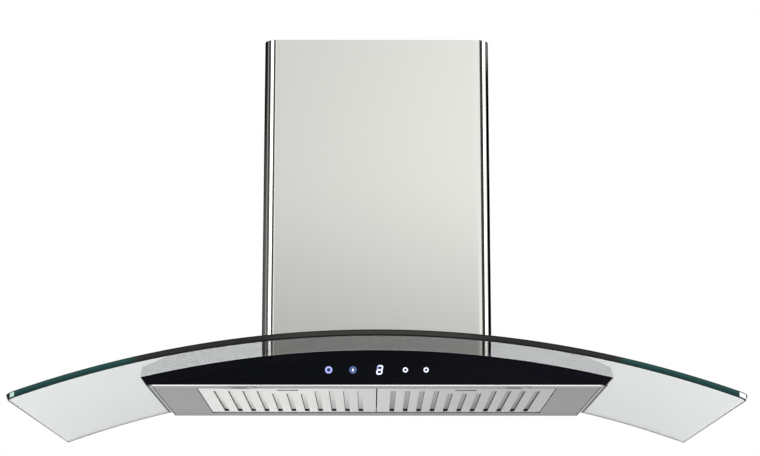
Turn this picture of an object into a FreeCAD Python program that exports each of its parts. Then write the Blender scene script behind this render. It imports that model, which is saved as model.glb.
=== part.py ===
"""Curved glass range hood, 90 cm wide, hung on a wall.

Millimetres. X runs across, Y into the wall (the front faces -Y), Z up. The origin lies on the
wall plane, in the middle of the four wall fixings in the back of the motor box. Inside the
functions heights count from the body's bottom plane, and every piece is then set down by
wall_hole_rise, so that the fixings come to height 0.
"""
import FreeCAD, Part
import math
import os

import Sketcher

SIZES = (
    # The glass: a slab bent about an axis that runs along Y.
    ("glass_width", 900, "tip to tip"),
    ("glass_depth", 500, "from the wall to the front edge"),
    ("glass_thickness", 8, ""),
    ("glass_radius", 1308, "of the underside"),
    ("glass_apex", 46, "height of the underside at the middle"),
    ("glass_corner", 12, "front corners, in plan"),
    # The flat body under the glass.
    ("body_top_width", 600, "where its slanted sides meet the glass"),
    ("body_bottom_width", 586, ""),
    ("body_depth", 385, "from the wall to the front of the panel"),
    ("trim_foot", 7, "width of a side trim at the bottom"),
    ("sheet", 1, "steel sheet of body, underside and filters"),
    ("seat_gap", 0.3, "between pieces that lie beside each other"),
    ("seal_thickness", 1.2, "rubber under the glass"),
    ("edge_seal_width", 10, ""),
    ("rubber_gap", 0.1, "where rubber or a flat nut meets a curved face"),
    ("sill_depth", 58, "where the flat underside ends, from the wall"),
    ("sill_rise", 12, "height of the sloping sill at the wall"),
    ("panel_thickness", 4, "black glass control panel"),
    ("flange_height", 7, "upturned edges of the bottom plate"),
    # The opening in the underside, and the two filters in it.
    ("opening_width", 461, ""),
    ("opening_front", 357, "from the wall"),
    ("opening_rear", 92, "from the wall"),
    ("guide_height", 12, "upright guides beside the filters"),
    ("filter_gap", 1, "around the filters"),
    ("filter_seam", 1.5, "between the filters"),
    ("filter_recess", 0.5, "underside of the filters above the bottom plane"),
    ("filter_height", 9, ""),
    ("filter_rear", 101, "from the wall"),
    ("rim_width", 14, "hollow rim of a filter"),
    ("slot_pitch", 18.7, ""),
    ("slot_width", 6.8, ""),
    ("slot_front", 328, "from the wall"),
    ("slot_front_short", 302, "the three slots behind the latch"),
    ("slot_rear", 105, "from the wall"),
    ("lip_thickness", 0.8, "lips along the slots, and the channels over them"),
    ("lip_height", 0.8, ""),
    ("channel_width", 12, "open channels over the slots"),
    ("channel_rear", 110, "from the wall"),
    ("channel_lift", 1.2, "air gap from the lips up to the channels"),
    ("strap_width", 8, "straps that tie the channels together"),
    # The hook rail behind the filters, and the bead on each filter that turns in it.
    ("bead_radius", 2, ""),
    ("bead_reach", 4.4, "bead centre behind the filter"),
    ("bead_clearance", 0.3, ""),
    ("hook_width", 40, ""),
    ("hook_spread", 160, "between a filter's two hooks"),
    ("hook_thickness", 1.2, ""),
    ("rail_thickness", 1.2, ""),
    ("rail_length", 456, ""),
    ("rail_leg", 7.2, "rail's leg behind the bead centre"),
    ("rail_foot", 9, ""),
    # The latches.
    ("latch_width", 27, ""),
    ("latch_tongue_width", 24, ""),
    ("latch_tongue_thickness", 2, ""),
    ("latch_reach", 6, "tongue beyond the filter, and its travel"),
    ("latch_grip", 5, "depth of the bar that a finger pulls"),
    ("latch_place", 342, "front of the bar, from the wall"),
    ("latch_height", 5, ""),
    ("latch_clearance", 0.3, ""),
    ("spring_radius", 2.5, ""),
    ("spring_wire", 0.6, ""),
    ("spring_end", 310, "from the wall"),
    ("catch_width", 34, ""),
    ("catch_depth", 8, ""),
    # The lamps in the front strip of the underside.
    ("lamp_place", 175, "from the middle"),
    ("lamp_line", 369, "from the wall"),
    ("lamp_length", 46, ""),
    ("lamp_width", 20, ""),
    ("lamp_flange", 2, "bezel beyond its hole"),
    ("lamp_flange_thickness", 0.8, ""),
    ("lamp_wall", 2, ""),
    ("lamp_neck", 5, "bezel above the bottom plane"),
    ("lens_thickness", 2, ""),
    ("lens_set_back", 0.5, "lens face above the bezel's face"),
    ("board_thickness", 1.6, "printed circuit boards"),
    # The touch control behind the panel.
    ("key_height", 19, "centre of the touch fields"),
    ("power_key_place", 60, "from the middle, to the left"),
    ("light_key_place", 29, "from the middle, to the left"),
    ("slower_key_place", 38, "from the middle, to the right"),
    ("faster_key_place", 64, "from the middle, to the right"),
    ("key_radius", 6, ""),
    ("digit_place", 5, ""),
    ("digit_width", 16, ""),
    ("digit_height", 20, ""),
    ("window_margin", 6, "panel window beyond the outer touch fields"),
    ("window_height", 26, ""),
    ("board_gap", 4.4, "from the body's front wall to the control board"),
    ("board_margin", 12, "control board beyond the window"),
    ("board_height", 29, ""),
    ("cover_depth", 19, "plastic cover behind the board"),
    ("cover_wall", 1.5, ""),
    ("board_screw_radius", 1.5, ""),
    # The motor box that stands on the glass and hangs on the wall.
    ("box_width", 280, ""),
    ("box_gap", 15, "from the motor box to the front of the lower duct cover"),
    ("box_top", 300, ""),
    ("back_sheet", 1.5, "back of the motor box"),
    ("base_sheet", 2, "curved plate under the motor box"),
    ("upper_seal", 1.5, "rubber on the glass"),
    ("lid_sheet", 1.2, ""),
    ("air_width", 210, "air hole through glass and body"),
    ("air_inset", 30, "behind the front of the motor box"),
    ("air_rear", 35, "from the wall"),
    ("air_corner", 20, ""),
    ("bolt_angle", 5.2, "clamp bolts, from the middle of the arch"),
    ("bolt_inset", 23, "front bolts behind the front of the motor box"),
    ("bolt_middle", 120, "from the wall"),
    ("bolt_rear", 25, "from the wall"),
    ("bolt_radius", 4, ""),
    ("bolt_clearance", 0.2, ""),
    ("bush_wall", 1.6, "rubber sleeve in the glass"),
    ("bolt_head", 7.5, "across the corners, as a radius"),
    ("bolt_head_height", 5, ""),
    ("wall_hole_rise", 165, "middle of the wall fixings above the bottom plane"),
    ("wall_hole_width", 200, ""),
    ("wall_hole_height", 150, ""),
    ("wall_hole_radius", 4.5, ""),
    ("screw_radius", 2, "small screws"),
    ("lid_screw_depth", 6, "screws below the lid"),
    ("motor_screw_depth", 8, "screws inside the motor"),
    ("screw_head", 3.8, ""),
    ("screw_head_height", 2.2, ""),
    # The fan: a scroll whose three arcs grow by scroll_step, about an axis along X.
    ("fan_line", 110, "fan axis from the wall"),
    ("fan_height", 165, ""),
    ("scroll_radius", 75, "smallest arc of the scroll"),
    ("scroll_step", 10, ""),
    ("scroll_width", 124, ""),
    ("scroll_top", 105, "above the fan axis"),
    ("scroll_wall", 1.5, ""),
    ("inlet_radius", 58, ""),
    ("inlet_wall", 3, ""),
    ("inlet_flange", 8, ""),
    ("impeller_radius", 65, ""),
    ("impeller_width", 96, ""),
    ("blade_depth", 8, ""),
    ("blade_thickness", 0.8, ""),
    ("blades", 30, ""),
    ("hub_radius", 9, ""),
    ("hub_length", 14, ""),
    ("shaft_radius", 4, ""),
    ("shaft_clearance", 0.06, ""),
    ("shaft_grip", 14, "shaft inside the motor"),
    ("motor_radius", 40, ""),
    ("motor_length", 64, ""),
    ("motor_gap", 8, "motor from the middle of the impeller"),
    ("arm_width", 14, "arms of the motor bracket"),
    ("arm_thickness", 2, ""),
    ("arm_radius", 72, ""),
    ("motor_screw_circle", 30, ""),
    ("capacitor_radius", 14, ""),
    ("capacitor_height", 60, ""),
    ("capacitor_place", 100, "from the middle"),
    ("capacitor_foot_height", 90, ""),
    # The outlet on top of the motor box.
    ("outlet_line", 105, "outlet axis from the wall"),
    ("outlet_radius", 75, "outside, where the duct pushes on"),
    ("outlet_wall", 2, ""),
    ("outlet_length", 50, ""),
    ("outlet_flange", 10, ""),
    ("outlet_box_width", 150, ""),
    ("outlet_box_front", 190, "from the wall"),
    ("outlet_box_rear", 8, "from the wall"),
    ("ledge_width", 4, "ledge that the flaps rest on"),
    ("ledge_rise", 4, "above the collar's foot"),
    ("flap_thickness", 1, ""),
    ("flap_bead", 1.5, "radius of a flap's hinge bead"),
    ("flap_spread", 6, "between the flaps' hinge lines"),
    ("flap_clearance", 1.2, "between flap and collar"),
    # The electrical connection.
    ("terminal_place", 101, "from the middle, to the left"),
    ("terminal_width", 46, ""),
    ("terminal_depth", 44, ""),
    ("terminal_height", 36, ""),
    ("gland_radius", 8, ""),
    ("gland_bore", 4, ""),
    ("gland_collar", 11, ""),
    ("gland_length", 14, ""),
    # The two duct covers and what carries them.
    ("duct_width", 310, ""),
    ("duct_depth", 250, ""),
    ("duct_corner", 17, ""),
    ("duct_top", 501, ""),
    ("duct_lip", 10, "inturned edge at the wall"),
    ("duct_gap", 1, "between the two covers"),
    ("upper_length", 419, ""),
    ("upper_drop", 2, "upper cover below the lower cover's top edge"),
    ("clip_width", 20, ""),
    ("clip_height", 19, ""),
    ("clip_foot", 56, ""),
    ("clip_line", 120, "from the wall"),
    ("bracket_top", 470, ""),
    ("bracket_height", 30, ""),
    ("bracket_half", 136, ""),
    ("bracket_step", 6, ""),
    ("bracket_wing", 40, ""),
    ("bracket_hole_width", 200, ""),
    ("bracket_hole_radius", 3, ""),
)

SLOTS = 11
HIGH = 80          # above every arched sheet
PAST = 5           # how far a cutting tool passes what it cuts
QUARTER = 90
HOOK_ANGLE = 250   # how far the hooked rail goes round the bead
HOOK_START = -95
ARM_ANGLES = (20, 140, 260)
ALONG = {
    "x": FreeCAD.Rotation(FreeCAD.Vector(0, 1, 0), 90),
    "y": FreeCAD.Rotation(FreeCAD.Vector(1, 0, 0), -90),
    "z": FreeCAD.Rotation(),
}


class Size:
    """A size as a number and as the formula that ties it to the sheet."""

    def __init__(self, number, formula):
        self.number = number
        self.formula = formula

    def __add__(self, other):
        other = sized(other)
        return Size(self.number + other.number, f"({self.formula} + {other.formula})")

    def __sub__(self, other):
        other = sized(other)
        return Size(self.number - other.number, f"({self.formula} - {other.formula})")

    def __mul__(self, other):
        other = sized(other)
        return Size(self.number * other.number, f"({self.formula} * {other.formula})")

    def __truediv__(self, other):
        other = sized(other)
        return Size(self.number / other.number, f"({self.formula} / {other.formula})")

    def __neg__(self):
        return sized(0) - self

    def __radd__(self, other):
        return sized(other) + self

    def __rsub__(self, other):
        return sized(other) - self

    def __rmul__(self, other):
        return sized(other) * self


def sized(value):
    if isinstance(value, Size):
        return value
    return Size(float(value), f"({float(value)})")


def root(value):
    return Size(math.sqrt(value.number), f"sqrt({value.formula})")


def sine(angle):
    return Size(math.sin(math.radians(angle.number)), f"sin({angle.formula})")


def cosine(angle):
    return Size(math.cos(math.radians(angle.number)), f"cos({angle.formula})")


def arcsine(value):
    return Size(math.degrees(math.asin(value.number)), f"asin({value.formula})")


doc = FreeCAD.newDocument("RangeHood")
sheet_object = doc.addObject("Spreadsheet::Sheet", "Sizes")
pieces = []


class Sizes:
    """The sheet's sizes by name."""

    def __init__(self):
        for row, (name, number, note) in enumerate(SIZES, start=1):
            sheet_object.set(f"A{row}", name)
            sheet_object.set(f"B{row}", str(number))
            sheet_object.set(f"C{row}", note)
            sheet_object.setAlias(f"B{row}", name)
            setattr(self, name, Size(float(number), f"Sizes.{name}"))
        doc.recompute()


s = Sizes()


# ---- Building blocks -------------------------------------------------------------------------

def bind(item, name, value):
    item.setExpression(name, sized(value).formula)


def both(half):
    """The span from -half to +half."""
    return (-sized(half), sized(half))


def around(centre, width):
    return (centre - width / 2, centre + width / 2)


def box(name, x, y, z):
    item = doc.addObject("Part::Box", name)
    for edge, letter, (start, end) in (("Length", "x", x), ("Width", "y", y), ("Height", "z", z)):
        bind(item, edge, sized(end) - start)
        bind(item, f"Placement.Base.{letter}", start)
    return item


def cylinder(name, axis, centre, span, radius):
    """A cylinder along an axis; centre holds its other two coordinates in x, y, z order."""
    item = doc.addObject("Part::Cylinder", name)
    bind(item, "Radius", radius)
    bind(item, "Height", sized(span[1]) - span[0])
    item.Placement = FreeCAD.Placement(FreeCAD.Vector(), ALONG[axis])
    crossing = list(centre)
    for letter in "xyz":
        bind(item, f"Placement.Base.{letter}", span[0] if letter == axis else crossing.pop(0))
    return item


def fuse(name, *items):
    item = doc.addObject("Part::MultiFuse", name)
    item.Shapes = list(items)
    return item


def group(name, *items):
    item = doc.addObject("Part::Compound", name)
    item.Links = list(items)
    return item


def cut(name, base, *tools):
    item = doc.addObject("Part::Cut", name)
    item.Base = base
    item.Tool = tools[0] if len(tools) == 1 else fuse(name + "_tools", *tools)
    return item


def common(name, first, second):
    item = doc.addObject("Part::Common", name)
    item.Base = first
    item.Tool = second
    return item


def rounded(name, item, radius, chosen):
    """Round the upright edges of a box whose middle point satisfies chosen(x, y)."""
    doc.recompute()
    fillet = doc.addObject("Part::Fillet", name)
    fillet.Base = item
    edges = []
    for number, edge in enumerate(item.Shape.Edges, start=1):
        bounds = edge.BoundBox
        if bounds.ZLength > 1 and chosen(bounds.XMin, bounds.YMin):
            edges.append((number, radius.number, radius.number))
    fillet.Edges = edges
    return fillet


def tube(name, axis, centre, span, outer, inner):
    """A round tube; the inside is cut a little beyond both ends."""
    outside = cylinder(name + "_outside", axis, centre, span, outer)
    inside = cylinder(name + "_inside", axis, centre, (span[0] - 1, span[1] + 1), inner)
    return cut(name, outside, inside)


def draw(sketch, outline):
    """Draw a closed outline of straight lines whose corners are tied to their sizes."""
    corners = [(sized(x), sized(y)) for x, y in outline]
    count = len(corners)
    for index in range(count):
        start = corners[index]
        end = corners[(index + 1) % count]
        sketch.addGeometry(Part.LineSegment(
            FreeCAD.Vector(start[0].number, start[1].number, 0),
            FreeCAD.Vector(end[0].number, end[1].number, 0)))
    for index in range(count):
        sketch.addConstraint(Sketcher.Constraint("Coincident", index, 2, (index + 1) % count, 1))
    for index, corner in enumerate(corners):
        for kind, value in zip(("DistanceX", "DistanceY"), corner):
            place = sketch.addConstraint(
                Sketcher.Constraint(kind, -1, 1, index, 1, value.number))
            bind(sketch, f"Constraints[{place}]", value)


def extrusion(name, plane, outline, start, length):
    """A body padded from an outline; along -Y from the XZ plane, +X from YZ and +Z from XY."""
    body = doc.addObject("PartDesign::Body", name)
    sketch = body.newObject("Sketcher::SketchObject", name + "_outline")
    origin_plane = next(part for part in body.Origin.OriginFeatures if part.Role == plane)
    sketch.AttachmentSupport = [(origin_plane, "")]
    sketch.MapMode = "FlatFace"
    bind(sketch, "AttachmentOffset.Base.z", start)
    draw(sketch, outline)
    pad = body.newObject("PartDesign::Pad", name + "_pad")
    pad.Profile = sketch
    bind(pad, "Length", length)
    return body


def piece(item, label, x=0):
    """Keep an object as a sub-part, set down so that the wall fixings lie at height 0."""
    if item.TypeId in ("Part::Box", "Part::Cylinder"):
        item = group(label, item)
    item.Label = label
    bind(item, "Placement.Base.x", x)
    bind(item, "Placement.Base.z", -s.wall_hole_rise)
    pieces.append(item)


# ---- Shared places ---------------------------------------------------------------------------

arch_axis = s.glass_apex - s.glass_radius
glass_top = s.glass_radius + s.glass_thickness
shell_radius = s.glass_radius - s.seal_thickness
base_radius = glass_top + s.upper_seal
box_foot_radius = base_radius + s.base_sheet
panel_back = s.body_depth - s.panel_thickness
shell_half = s.body_bottom_width / 2 - s.trim_foot
tray_half = shell_half - s.sheet
opening_half = s.opening_width / 2
filter_centre = (opening_half - s.filter_gap + s.filter_seam / 2) / 2
filter_half = (opening_half - s.filter_gap - s.filter_seam / 2) / 2
filter_front = s.opening_front - s.filter_gap
filter_top = s.filter_recess + s.filter_height
bead_height = s.filter_recess + s.filter_height / 2
bead_line = s.filter_rear - s.bead_reach
box_half = s.box_width / 2
box_depth = s.duct_depth - s.box_gap
bolt_front = box_depth - s.bolt_inset
air_front = box_depth - s.air_inset
duct_half = s.duct_width / 2
outlet_foot = s.box_top + s.lid_sheet


def arch(radius, x):
    """Height of the arch of a given radius at a distance x from the middle."""
    return arch_axis + root(radius * radius - x * x)


def core(name, radius, y):
    """The solid under an arch."""
    return cylinder(name, "y", (0, arch_axis), y, radius)


def arched_sheet(name, inner, outer, y):
    return cut(name, core(name + "_over", outer, y), core(name + "_under", inner, (y[0] - 1, y[1] + 1)))


def on_arch(name, kind, angle, y, start, length, radius):
    """A cylinder or hexagon that stands square to the arch."""
    item = doc.addObject("Part::" + kind, name)
    bind(item, "Radius" if kind == "Cylinder" else "Circumradius", radius)
    bind(item, "Height", length)
    turn = FreeCAD.Rotation(FreeCAD.Vector(0, 1, 0), angle.number)
    item.Placement = FreeCAD.Placement(FreeCAD.Vector(), turn)
    bind(item, "Placement.Base.x", start * sine(angle))
    bind(item, "Placement.Base.y", -y)
    bind(item, "Placement.Base.z", arch_axis + start * cosine(angle))
    return item


def at_bolts(name, kind, start, length, radius):
    """One cylinder or hexagon at each of the six clamp bolts."""
    items = []
    for side in (-1, 1):
        for line in (bolt_front, s.bolt_middle, s.bolt_rear):
            number = len(items) + 1
            items.append(on_arch(f"{name}_{number}", kind, side * s.bolt_angle, line, start, length, radius))
    return items


def air_hole(name, z):
    """The rounded air hole through glass, seals, base plate and body."""
    block = box(name + "_block", both(s.air_width / 2), (-air_front, -s.air_rear), z)
    return rounded(name, block, s.air_corner, lambda x, y: True)


# ---- Glass and seals -------------------------------------------------------------------------

def sector(name, radius, half_angle, y):
    """A slice of a cylinder along Y, centred on the top of the arch."""
    item = doc.addObject("Part::Cylinder", name)
    bind(item, "Radius", radius)
    bind(item, "Height", y[1] - y[0])
    bind(item, "Angle", 2 * half_angle)
    sin = math.sin(math.radians(half_angle.number))
    cos = math.cos(math.radians(half_angle.number))
    turn = FreeCAD.Rotation(
        FreeCAD.Vector(-sin, 0, cos), FreeCAD.Vector(cos, 0, sin), FreeCAD.Vector(0, 1, 0), "ZXY")
    item.Placement = FreeCAD.Placement(FreeCAD.Vector(), turn)
    bind(item, "Placement.Base.y", y[0])
    bind(item, "Placement.Base.z", arch_axis)
    return item


def make_glass():
    half = s.glass_width / 2
    depth = (-s.glass_depth, sized(0))
    slice_over = sector("glass_over", glass_top, arcsine(half / glass_top), depth)
    slab = cut("glass_slab", slice_over, core("glass_under", s.glass_radius, (-s.glass_depth - 1, 1)))
    block = box("glass_block", both(half), depth, (-s.glass_radius, s.glass_apex + HIGH))
    outline = rounded("glass_outline", block, s.glass_corner, lambda x, y: y < -1)
    bushes = at_bolts("glass_hole", "Cylinder", s.glass_radius - 1, s.glass_thickness + 2, bush_radius())
    glass = cut("glass_canopy", common("glass_plan", slab, outline), air_hole("glass_air", (0, HIGH)),
                *bushes)
    piece(glass, "glass_canopy")


def bush_radius():
    return s.bolt_radius + s.bolt_clearance + s.bush_wall


def clamped_sheet(name, inner, thickness, hole):
    """An arched sheet under or over the glass, with the air hole and the bolt holes."""
    depth = (-box_depth, sized(0))
    sheet = arched_sheet(name + "_sheet", inner, inner + thickness, depth)
    block = box(name + "_block", both(box_half), depth, (0, HIGH))
    holes = at_bolts(name + "_hole", "Cylinder", inner - 1, thickness + 2, hole)
    return cut(name, common(name + "_plan", sheet, block), air_hole(name + "_air", (0, HIGH)), *holes)


def make_seals():
    hole = s.bolt_radius + s.bolt_clearance
    piece(clamped_sheet("glass_seal_lower", shell_radius, s.seal_thickness, hole), "glass_seal_lower")
    piece(clamped_sheet("glass_seal_upper", glass_top, s.upper_seal, hole), "glass_seal_upper")
    sleeves = []
    solids = at_bolts("bush", "Cylinder", s.glass_radius + s.rubber_gap,
                      s.glass_thickness - 2 * s.rubber_gap, bush_radius())
    bores = at_bolts("bush_bore", "Cylinder", s.glass_radius - 1, s.glass_thickness + 2, hole)
    for number, (solid, bore) in enumerate(zip(solids, bores), start=1):
        sleeves.append(cut(f"bush_sleeve_{number}", solid, bore))
    piece(group("glass_bushes", *sleeves), "glass_bushes")
    strip = arched_sheet("edge_strip", shell_radius, s.glass_radius - s.rubber_gap, (-panel_back, sized(0)))
    outside = box("edge_outside", both(shell_half), (-panel_back, 0), (0, HIGH))
    inside = box("edge_inside", both(shell_half - s.edge_seal_width),
                 (s.edge_seal_width - panel_back, 1), (-1, HIGH + 1))
    plan = cut("edge_plan", outside, inside)
    piece(common("body_edge_seal", strip, plan), "body_edge_seal")


def make_clamp_bolts():
    nut_height = s.bolt_head_height
    foot = shell_radius - s.sheet - s.rubber_gap
    shanks = at_bolts("bolt_shank", "Cylinder", foot - nut_height - 2,
                      box_foot_radius - foot + nut_height + 3, s.bolt_radius)
    heads = at_bolts("bolt_head", "Prism", box_foot_radius, s.bolt_head_height, s.bolt_head)
    bolts = [fuse(f"bolt_{number}", *pair) for number, pair in enumerate(zip(shanks, heads), start=1)]
    piece(group("clamp_bolts", *bolts), "clamp_bolts")
    blanks = at_bolts("nut_blank", "Prism", foot - nut_height, nut_height, s.bolt_head)
    bores = at_bolts("nut_bore", "Cylinder", foot - nut_height - 1, nut_height + 2,
                     s.bolt_radius + s.bolt_clearance / 4)
    nuts = [cut(f"nut_{number}", *pair) for number, pair in enumerate(zip(blanks, bores), start=1)]
    piece(group("clamp_nuts", *nuts), "clamp_nuts")


# ---- Body ------------------------------------------------------------------------------------

def under_sill(name, lift):
    """The wedge of room below the sloping sill, raised by lift."""
    outline = ((-s.sill_depth, lift), (0, s.sill_rise + lift), (PAST, s.sill_rise + lift),
               (PAST, -PAST), (-s.sill_depth, -PAST))
    return extrusion(name, "YZ_Plane", outline, -s.body_top_width / 2 - 1, s.body_top_width + 2)


def make_body_shell():
    wall = s.sheet
    outer = common("shell_outer", box("shell_block", both(shell_half), (-panel_back, 0), (0, HIGH)),
                   core("shell_arch", shell_radius, (-s.body_depth, 0)))
    room = common("shell_room",
                  box("shell_hollow", both(tray_half), (wall - panel_back, -wall), (-PAST, HIGH)),
                  core("shell_ceiling", shell_radius - wall, (-s.body_depth, 0)))
    bolt_holes = at_bolts("shell_hole", "Cylinder", shell_radius - wall - 1, wall + 2,
                          s.bolt_radius + s.bolt_clearance)
    window = box("shell_window", window_span(), (-s.body_depth, 2 * wall - panel_back),
                 around(s.key_height, s.window_height))
    folded = cut("shell_folded", outer, room, air_hole("shell_air", (s.guide_height, HIGH)), window,
                 under_sill("shell_sill", wall), *bolt_holes)
    spacers = [tube(f"board_spacer_{n}", "y", at, (wall - panel_back, wall - panel_back + s.board_gap),
                    2 * s.board_screw_radius, s.board_screw_radius + s.bolt_clearance / 2)
               for n, at in enumerate(board_corners(), start=1)]
    piece(fuse("body_shell", folded, *spacers), "body_shell")
    sill = extrusion("rear_sill", "YZ_Plane",
                     ((-s.sill_depth, 0), (0, s.sill_rise), (0, s.sill_rise + wall), (-s.sill_depth, wall)),
                     -shell_half, 2 * shell_half)
    piece(sill, "rear_sill")


def window_span():
    rim = s.key_radius + s.window_margin
    return (-s.power_key_place - rim, s.faster_key_place + rim)


def key_places():
    return (-s.power_key_place, -s.light_key_place, s.slower_key_place, s.faster_key_place)


def slanted_outline(inner, outer_foot, outer_top):
    """Half of the body's cross-section, with the slant of its sides up to the glass."""
    top = arch(s.glass_radius, s.body_top_width / 2)
    return ((inner, 0), (outer_foot, 0), (outer_top, top), (outer_top, HIGH), (inner, HIGH))


def make_panel():
    foot = s.body_bottom_width / 2
    head = s.body_top_width / 2
    top = arch(s.glass_radius, head)
    outline = ((-foot, 0), (foot, 0), (head, top), (head, HIGH), (-head, HIGH), (-head, top))
    blank = extrusion("panel_blank", "XZ_Plane", outline, panel_back, s.panel_thickness)
    under = core("panel_arch", s.glass_radius - s.seat_gap, (-s.body_depth - 1, 0))
    piece(common("panel_glass", blank, under), "panel_glass")


def make_side_trims():
    foot = s.body_bottom_width / 2
    head = s.body_top_width / 2
    for side, name in ((-1, "left"), (1, "right")):
        outline = [(side * x, z) for x, z in slanted_outline(sized(shell_half), foot, head)]
        blank = extrusion(name + "_trim_blank", "XZ_Plane", outline, 0, panel_back)
        under = core(name + "_trim_arch", s.glass_radius - s.seat_gap, (-s.body_depth, 1))
        trim = common(name + "_trim_bar", blank, under)
        label = name + "_side_trim"
        piece(cut(label, trim, under_sill(name + "_trim_sill", 0)), label)


def stadium(name, x, y, z, length, width):
    """A long rounded block along X."""
    reach = (length - width) / 2
    middle = box(name + "_middle", (x - reach, x + reach), (y - width / 2, y + width / 2), z)
    left = cylinder(name + "_left", "z", (x - reach, y), z, width / 2)
    right = cylinder(name + "_right", "z", (x + reach, y), z, width / 2)
    return fuse(name, middle, left, right)


def make_bottom_plate():
    wall = s.sheet
    edge = tray_half - s.seat_gap
    front = panel_back - wall - s.seat_gap
    plate = box("tray_plate", both(edge), (-front, -s.sill_depth), (0, wall))
    flanges = [box("tray_flange_front", both(edge), (-front, wall - front), (0, s.flange_height))]
    guides = []
    for side, name in ((-1, "left"), (1, "right")):
        x = (side * edge, side * (edge - wall))
        flanges.append(box(f"tray_flange_{name}", ordered(x), (-front, -s.sill_depth), (0, s.flange_height)))
        x = (side * opening_half, side * (opening_half + wall))
        guides.append(box(f"tray_guide_{name}", ordered(x),
                          (-s.opening_front, -s.opening_rear), (0, s.guide_height)))
    opening = box("tray_opening", both(opening_half), (-s.opening_front, -s.opening_rear), (-1, wall + 1))
    hole_length = s.lamp_length - 2 * s.lamp_flange
    hole_width = s.lamp_width - 2 * s.lamp_flange
    holes = [stadium(f"tray_lamp_{number}", side * s.lamp_place, -s.lamp_line, (-1, wall + 1),
                     hole_length + s.bolt_clearance, hole_width + s.bolt_clearance)
             for number, side in enumerate((-1, 1), start=1)]
    solid = fuse("tray_solid", plate, *flanges, *guides)
    piece(cut("bottom_plate", solid, opening, *holes), "bottom_plate")


def ordered(span):
    """The span with its smaller end first."""
    start, end = sized(span[0]), sized(span[1])
    return (start, end) if start.number < end.number else (end, start)


# ---- Lamps -----------------------------------------------------------------------------------

def make_lamps():
    hole_length = s.lamp_length - 2 * s.lamp_flange
    hole_width = s.lamp_width - 2 * s.lamp_flange
    lens_length = hole_length - 2 * s.lamp_wall
    lens_width = hole_width - 2 * s.lamp_wall
    line = -s.lamp_line
    boards = []
    for side, name in ((-1, "left"), (1, "right")):
        x = side * s.lamp_place
        flange = stadium(name + "_bezel_flange", x, line, (-s.lamp_flange_thickness, 0),
                         s.lamp_length, s.lamp_width)
        neck = stadium(name + "_bezel_neck", x, line, (-s.lamp_flange_thickness, s.lamp_neck),
                       hole_length, hole_width)
        inside = stadium(name + "_bezel_inside", x, line, (-PAST, s.lamp_neck + PAST), lens_length,
                         lens_width)
        bezel = cut(name + "_lamp_bezel", fuse(name + "_bezel_solid", flange, neck), inside)
        piece(bezel, name + "_lamp_bezel")
        lens_foot = s.lens_set_back - s.lamp_flange_thickness
        lens = stadium(name + "_lamp_lens", x, line, (lens_foot, lens_foot + s.lens_thickness),
                       lens_length, lens_width)
        piece(lens, name + "_lamp_lens")
        boards.append(stadium(name + "_lamp_board", x, line, (s.lamp_neck, s.lamp_neck + s.board_thickness),
                              hole_length, hole_width))
    piece(group("lamp_boards", *boards), "lamp_boards")


# ---- Touch control ---------------------------------------------------------------------------

def board_span():
    start, end = window_span()
    return (start - s.board_margin, end + s.board_margin)


def board_corners():
    """The four fixing points of the control board."""
    start, end = board_span()
    inset = s.board_margin / 2
    rise = s.board_height / 2 - 4 * s.board_screw_radius + 1
    middle = board_middle()
    return [(x, z) for x in (start + inset, end - inset) for z in (middle - rise, middle + rise)]


def board_middle():
    return s.flange_height + 2 * s.seat_gap + s.cover_wall + s.board_height / 2


def make_control():
    wall_face = panel_back - s.sheet
    board_face = wall_face - s.board_gap
    board_back = board_face - s.board_thickness
    corners = board_corners()
    board = box("board_blank", board_span(), (-board_face, -board_back),
                around(board_middle(), s.board_height))
    holes = [cylinder(f"board_hole_{n}", "y", at, (-board_face - 1, 1 - board_back),
                      s.board_screw_radius + s.bolt_clearance / 2) for n, at in enumerate(corners, start=1)]
    piece(cut("control_board", board, *holes), "control_board")
    screws = []
    for n, at in enumerate(corners, start=1):
        shank = cylinder(f"board_shank_{n}", "y", at, (-wall_face, -board_back), s.board_screw_radius)
        head = cylinder(f"board_head_{n}", "y", at, (-board_back, s.board_screw_radius - board_back),
                        2 * s.board_screw_radius)
        screws.append(fuse(f"board_screw_{n}", shank, head))
    piece(group("board_screws", *screws), "board_screws")
    pads = [cylinder(f"touch_pad_{n}", "y", (x, s.key_height), (-panel_back, -board_face), s.key_radius)
            for n, x in enumerate(key_places(), start=1)]
    piece(group("touch_pads", *pads), "touch_pads")
    display = box("display_block", around(s.digit_place, s.digit_width), (-panel_back, -board_face),
                  around(s.key_height, s.digit_height))
    piece(display, "display_module")
    make_board_cover(wall_face)


def make_board_cover(wall_face):
    gap = s.seat_gap
    wall = s.cover_wall
    start, end = board_span()
    across = (start - gap - wall, end + gap + wall)
    upright = around(board_middle(), s.board_height + 2 * wall + 2 * gap)
    outside = box("cover_outside", across, (-wall_face, s.cover_depth - wall_face), upright)
    inside = box("cover_inside", (across[0] + wall, across[1] - wall),
                 (-wall_face - 1, s.cover_depth - wall - wall_face),
                 (upright[0] + wall, upright[1] - wall))
    piece(cut("board_cover", outside, inside), "board_cover")


# ---- Filters ---------------------------------------------------------------------------------

def slot_places():
    """Each slot's place across its filter, and where it starts at the front."""
    middle = SLOTS // 2
    places = []
    for number in range(SLOTS):
        short = abs(number - middle) <= 1
        places.append(((number - middle) * s.slot_pitch, s.slot_front_short if short else s.slot_front))
    return places


def rim_inside():
    """Inner faces of a filter's hollow rim: half width, front and rear line."""
    return (filter_half - s.rim_width, s.slot_front + s.sheet, s.slot_rear - s.sheet)


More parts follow.
